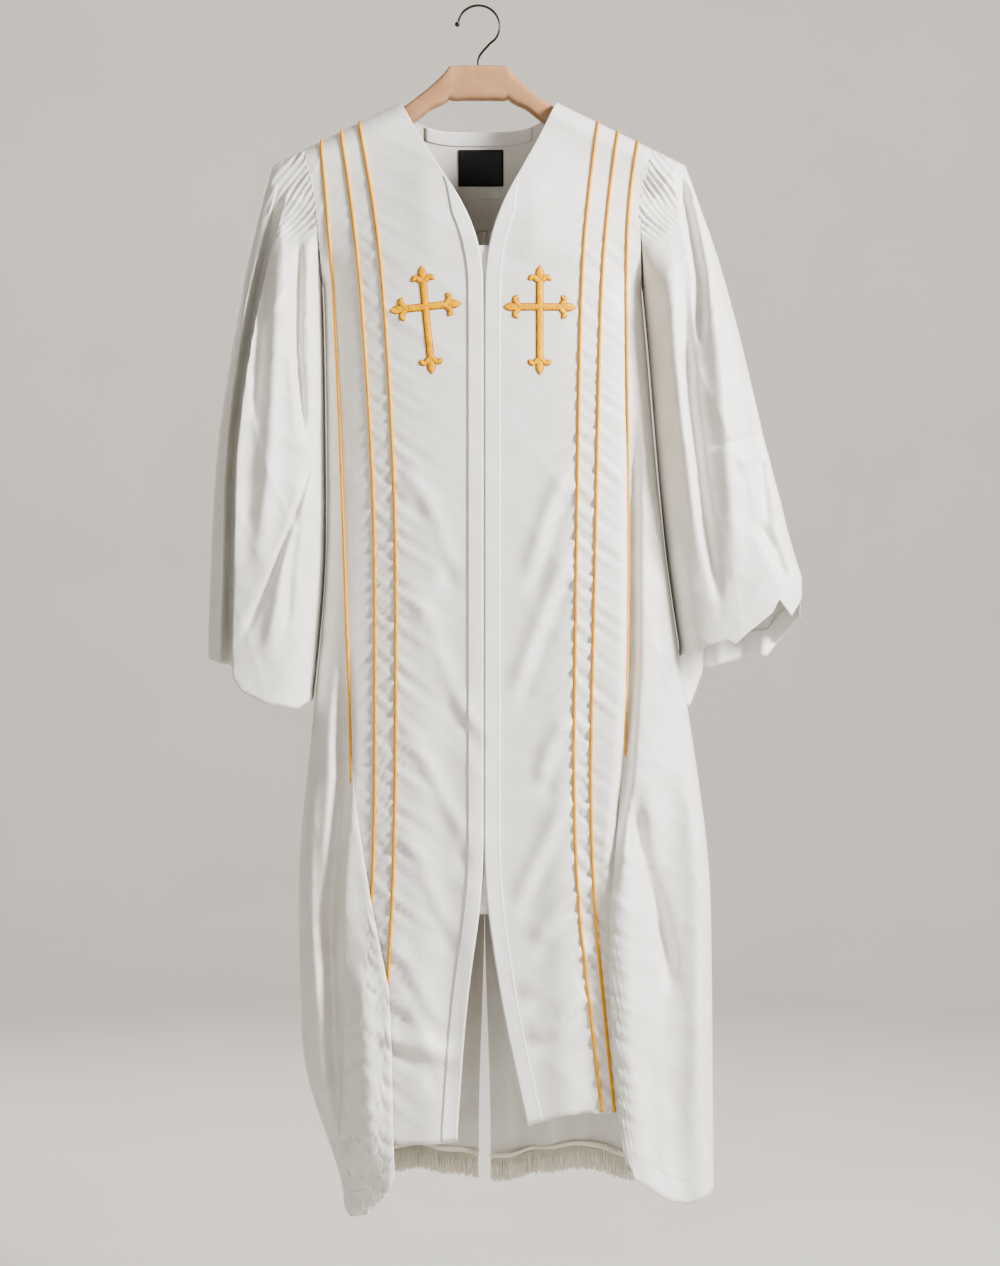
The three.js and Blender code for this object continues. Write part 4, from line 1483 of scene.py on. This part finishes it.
@dataclass
class Hanger:
    """The moulded hanger and its hook."""

    finishes: Finishes
    half_thickness: float = 11.0
    squareness: float = 0.55         # the section's power: 1 is an ellipse, nearer 0 a box
    arm_start: float = 36.0          # where the flat crown ends and the slope starts
    arm_shoulder: float = 95.0       # where the hollow slope turns into the arm
    arm_slope: float = 0.49
    crown_dip: float = 1.5
    bar_height: float = 42.0
    bar_taper: float = 14.0
    end_round: float = 9.0

    crown: float = field(init=False)
    fall: float = field(init=False)
    reach: float = field(init=False)

    def __post_init__(self) -> None:
        """Reads the hanger's size from the frame."""
        self.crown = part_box("hanger_block")[1].z / MM
        self.fall = self.crown - (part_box("front_panel_left")[1].z / MM - 7)
        self.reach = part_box("hanger_arm_right")[1].x / MM

    def top(self, x: float) -> float:
        """Top outline: a flat crown, then a hollow slope down to the arms.

        Args:
            x: place across.

        Returns:
            The height there.
        """
        x = abs(x)
        if x < self.arm_start:
            return self.crown - self.crown_dip * (x / self.arm_start) ** 4
        share = min((x - self.arm_start) / (self.arm_shoulder - self.arm_start), 1)
        slope = self.crown - self.crown_dip - self.fall * share**0.8
        return slope - max(x - self.arm_shoulder, 0) * self.arm_slope

    def build(self) -> None:
        """Makes the hanger as one moulding, and the hook."""
        bm = bmesh.new()
        columns, sides = 120, 28
        bmesh.ops.create_grid(bm, x_segments=columns, y_segments=sides, size=0.5)
        reach = self.reach
        for vert in bm.verts:
            u, v = vert.co.x + 0.5, vert.co.y + 0.5
            x = (2 * u - 1) * reach
            end = math.sqrt(max(1 - (max(abs(x) - reach + self.end_round, 0) / self.end_round) ** 2, 0.0))
            height = (self.bar_height - self.bar_taper * ease(abs(x), 26, 62)) * end + 0.01
            angle = 2 * math.pi * v
            c, s = math.cos(angle), math.sin(angle)
            y = self.half_thickness * end * math.copysign(abs(c) ** self.squareness, c)
            z = self.top(x) - height / 2 + height / 2 * math.copysign(abs(s) ** self.squareness, s)
            vert.co = (x, y, z)
        bmesh.ops.remove_doubles(bm, verts=bm.verts, dist=0.02)
        bmesh.ops.recalc_face_normals(bm, faces=bm.faces)
        piece = finish_mesh("hanger_moulding", bm, [self.finishes.hanger])
        settle(piece, "hanger_plastic", "hanger_arm_left", "hanger_arm_right", "hanger_block")
        self.hook()
        for node, material in (("hook_bushing", self.finishes.steel), ("hook_tip_loop", self.finishes.steel)):
            dress(node, material)
        LOG.info("hanger built")

    def hook(self) -> None:
        """Makes the two wires of the hook, side by side from the bushing round to the tip."""
        for name, way in (("front", -1), ("back", 1)):
            low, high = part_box(f"hook_wire_{name}")
            radius, wire = (high.x - low.x) / MM / 2 - 1.2, 1.2
            y = (low.y + high.y) / 2 / MM
            centre_z = high.z / MM - wire - radius
            points = [(0, y, low.z / MM + 0.5), (0, y, low.z / MM + 22)]
            for k in range(10):
                a = -math.pi / 3 + k * math.pi * 1.25 / 9
                points.append((radius * math.cos(a), y, centre_z + radius * math.sin(a)))
            path = curve_through(points, 8)
            wire_piece = tube(f"hook_wire_{name}_drawn", path, wire, self.finishes.steel, 12)
            settle(wire_piece, "hook_steel", f"hook_wire_{name}", body=HOOK_BODY)


def curve_through(points: Sequence[tuple[float, float, float]], each: int) -> Array:
    """A smooth run of points through a few.

    Args:
        points: the points to pass through.
        each: how many steps from one to the next.

    Returns:
        The finer run.
    """
    p = np.array(points, float)
    p = np.vstack([2 * p[0] - p[1], p, 2 * p[-1] - p[-2]])
    found = []
    for i in range(1, len(p) - 2):
        for t in np.arange(each) / each:
            found.append(0.5 * (2 * p[i] + (p[i + 1] - p[i - 1]) * t
                                + (2 * p[i - 1] - 5 * p[i] + 4 * p[i + 1] - p[i + 2]) * t**2
                                + (3 * p[i] - p[i - 1] - 3 * p[i + 1] + p[i + 2]) * t**3))
    return np.array(found + [p[-2]])


def dress(node: str, material: bpy.types.Material) -> None:
    """Gives a CAD node its finish.

    Args:
        node: its name.
        material: the finish.
    """
    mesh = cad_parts[node]
    mesh.data.materials.clear()
    mesh.data.materials.append(material)


@dataclass
class Zip:
    """The zip behind the front edges; its chains get their teeth here."""

    finishes: Finishes
    tooth_pitch: float = 2.6

    def build(self) -> None:
        """Makes the teeth and dresses the rest."""
        for side in Side:
            node = f"zip_chain_{side.value}"
            low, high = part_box(node)
            middle = (low + high) / 2 / MM
            heights = np.arange(low.z / MM + 1.5, high.z / MM - 1, self.tooth_pitch)
            size = ((high.x - low.x) / MM, (high.y - low.y) / MM, 1.5)
            tooth = bmesh.new()
            bmesh.ops.create_cube(tooth, size=1, matrix=Matrix.Diagonal((*size, 1)))
            bmesh.ops.bevel(tooth, geom=tooth.edges, offset=0.25, segments=1, affect="EDGES", profile=0.5,
                            material=-1)
            bm = repeat(tooth, [Matrix.Translation((middle.x, middle.y, z)) for z in heights])
            teeth = finish_mesh(f"zip_teeth_{side.value}", bm, [self.finishes.brass], smooth=False)
            settle(teeth, "zip_metal", node)
            dress(f"zip_tape_{side.value}", self.finishes.tape)
        for node in ("zip_bottom_stop", "zip_slider", "zip_pull"):
            dress(node, self.finishes.brass)
        LOG.info("zip built")


@dataclass
class Studio:
    """The pale floor and sweep, the lights and the camera."""

    frame_height: float = 1.494
    aim: tuple[float, float] = (0.026, -0.758)
    distance: float = 3.0
    long_side: float = 36.0
    robe_front: float = -0.075       # the plane that the camera's frame height is measured in
    floor_drop: float = 0.3
    radius: float = 5.0
    bend: float = 1.2
    wall_height: float = 5.0
    world_strength: float = 0.2

    def build(self, low: Vector) -> None:
        """Sets the stage round the object.

        Args:
            low: the lowest corner of the object's box.
        """
        floor_z = low.z - self.floor_drop
        bm = bmesh.new()
        bend = self.bend
        profile = [(0.0, 0.0), (self.radius - bend, 0.0)]
        profile += [(self.radius - bend + bend * math.sin(a), bend - bend * math.cos(a))
                    for a in np.linspace(0.1, math.pi / 2, 10)]
        profile.append((self.radius, self.wall_height))
        verts = [bm.verts.new((r, 0, floor_z + h)) for r, h in profile]
        edges = [bm.edges.new(pair) for pair in zip(verts[:-1], verts[1:])]
        bmesh.ops.spin(bm, geom=verts + edges, cent=(0, 0, 0), axis=(0, 0, 1), angle=2 * math.pi, steps=96,
                       use_merge=True)
        bmesh.ops.remove_doubles(bm, verts=bm.verts, dist=1e-5)
        bmesh.ops.recalc_face_normals(bm, faces=bm.faces)
        bmesh.ops.scale(bm, vec=(1 / MM, 1 / MM, 1 / MM), verts=bm.verts)
        sweep = finish_mesh("studio_sweep", bm, [self.paper()])
        sweep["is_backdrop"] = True
        self.light("key", (2.4, -1.55, 0.6), power=190, size=0.8)
        self.light("fill", (-1.0, -3.4, -1.1), power=17, size=1.4)
        self.light("top", (0.5, -0.6, 2.2), power=14, size=1.0)
        self.light("rim", (-1.4, 2.6, 0.6), power=30, size=1.4)
        self.light("sweep", (0.0, 1.2, 1.6), power=120, size=2.5, aim=(0.0, 4.6, -0.6))
        world = bpy.data.worlds.new("studio_world")
        bpy.context.scene.world = world
        world.use_nodes = True
        world.node_tree.nodes["Background"].inputs["Color"].default_value = linear("#F2F1EF")
        world.node_tree.nodes["Background"].inputs["Strength"].default_value = self.world_strength
        data = bpy.data.cameras.new("camera")
        data.sensor_width = self.long_side
        data.lens = self.long_side * self.distance / self.frame_height
        camera = bpy.data.objects.new("camera", data)
        camera.location = (self.aim[0], self.robe_front - self.distance, self.aim[1])
        camera.rotation_euler = (math.pi / 2, 0, 0)
        bpy.context.scene.collection.objects.link(camera)
        bpy.context.scene.camera = camera
        # A little more contrast than the plain view, so that the folds of white cloth show.
        bpy.context.scene.view_settings.look = "AgX - Medium High Contrast"
        LOG.info("studio built")

    @staticmethod
    def paper() -> bpy.types.Material:
        """Pale matte paper."""
        return Textile("studio_paper", "#C6C2BB", "#C2BEB7", 0.9, 0.0, 3.0, 0.0, 400).make()

    @staticmethod
    def light(name: str, place: tuple[float, float, float], power: float, size: float,
              aim: tuple[float, float, float] = (0.0, 0.0, -0.7)) -> None:
        """One soft square light, aimed at the middle of the robe unless told otherwise.

        Args:
            name: its name.
            place: where it stands, in metres.
            power: in watts.
            size: the side of the square, in metres.
            aim: what it points at.
        """
        data = bpy.data.lights.new(name, "AREA")
        data.energy, data.size = power, size
        lamp = bpy.data.objects.new(name, data)
        lamp.location = place
        lamp.rotation_euler = (Vector(aim) - Vector(place)).to_track_quat("-Z", "Y").to_euler()
        bpy.context.scene.collection.objects.link(lamp)


def main() -> None:
    """Builds every part of the robe."""
    logging.basicConfig(level=logging.INFO, format="%(name)s %(relativeCreated)d ms: %(message)s")
    cad_low, cad_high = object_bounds()
    finishes = Finishes()
    robe = Robe()
    Studio().build(cad_low)
    Hanger(finishes).build()
    Fronts(robe, finishes).build()
    Facings(robe, finishes).build()
    Pipings(robe, finishes).build()
    Back(robe, finishes).build()
    Sleeves(robe, finishes).build()
    Fringes(robe, finishes).build()
    Crosses(robe, finishes).build()
    Zip(finishes).build()


if __name__ == "__main__":
    main()
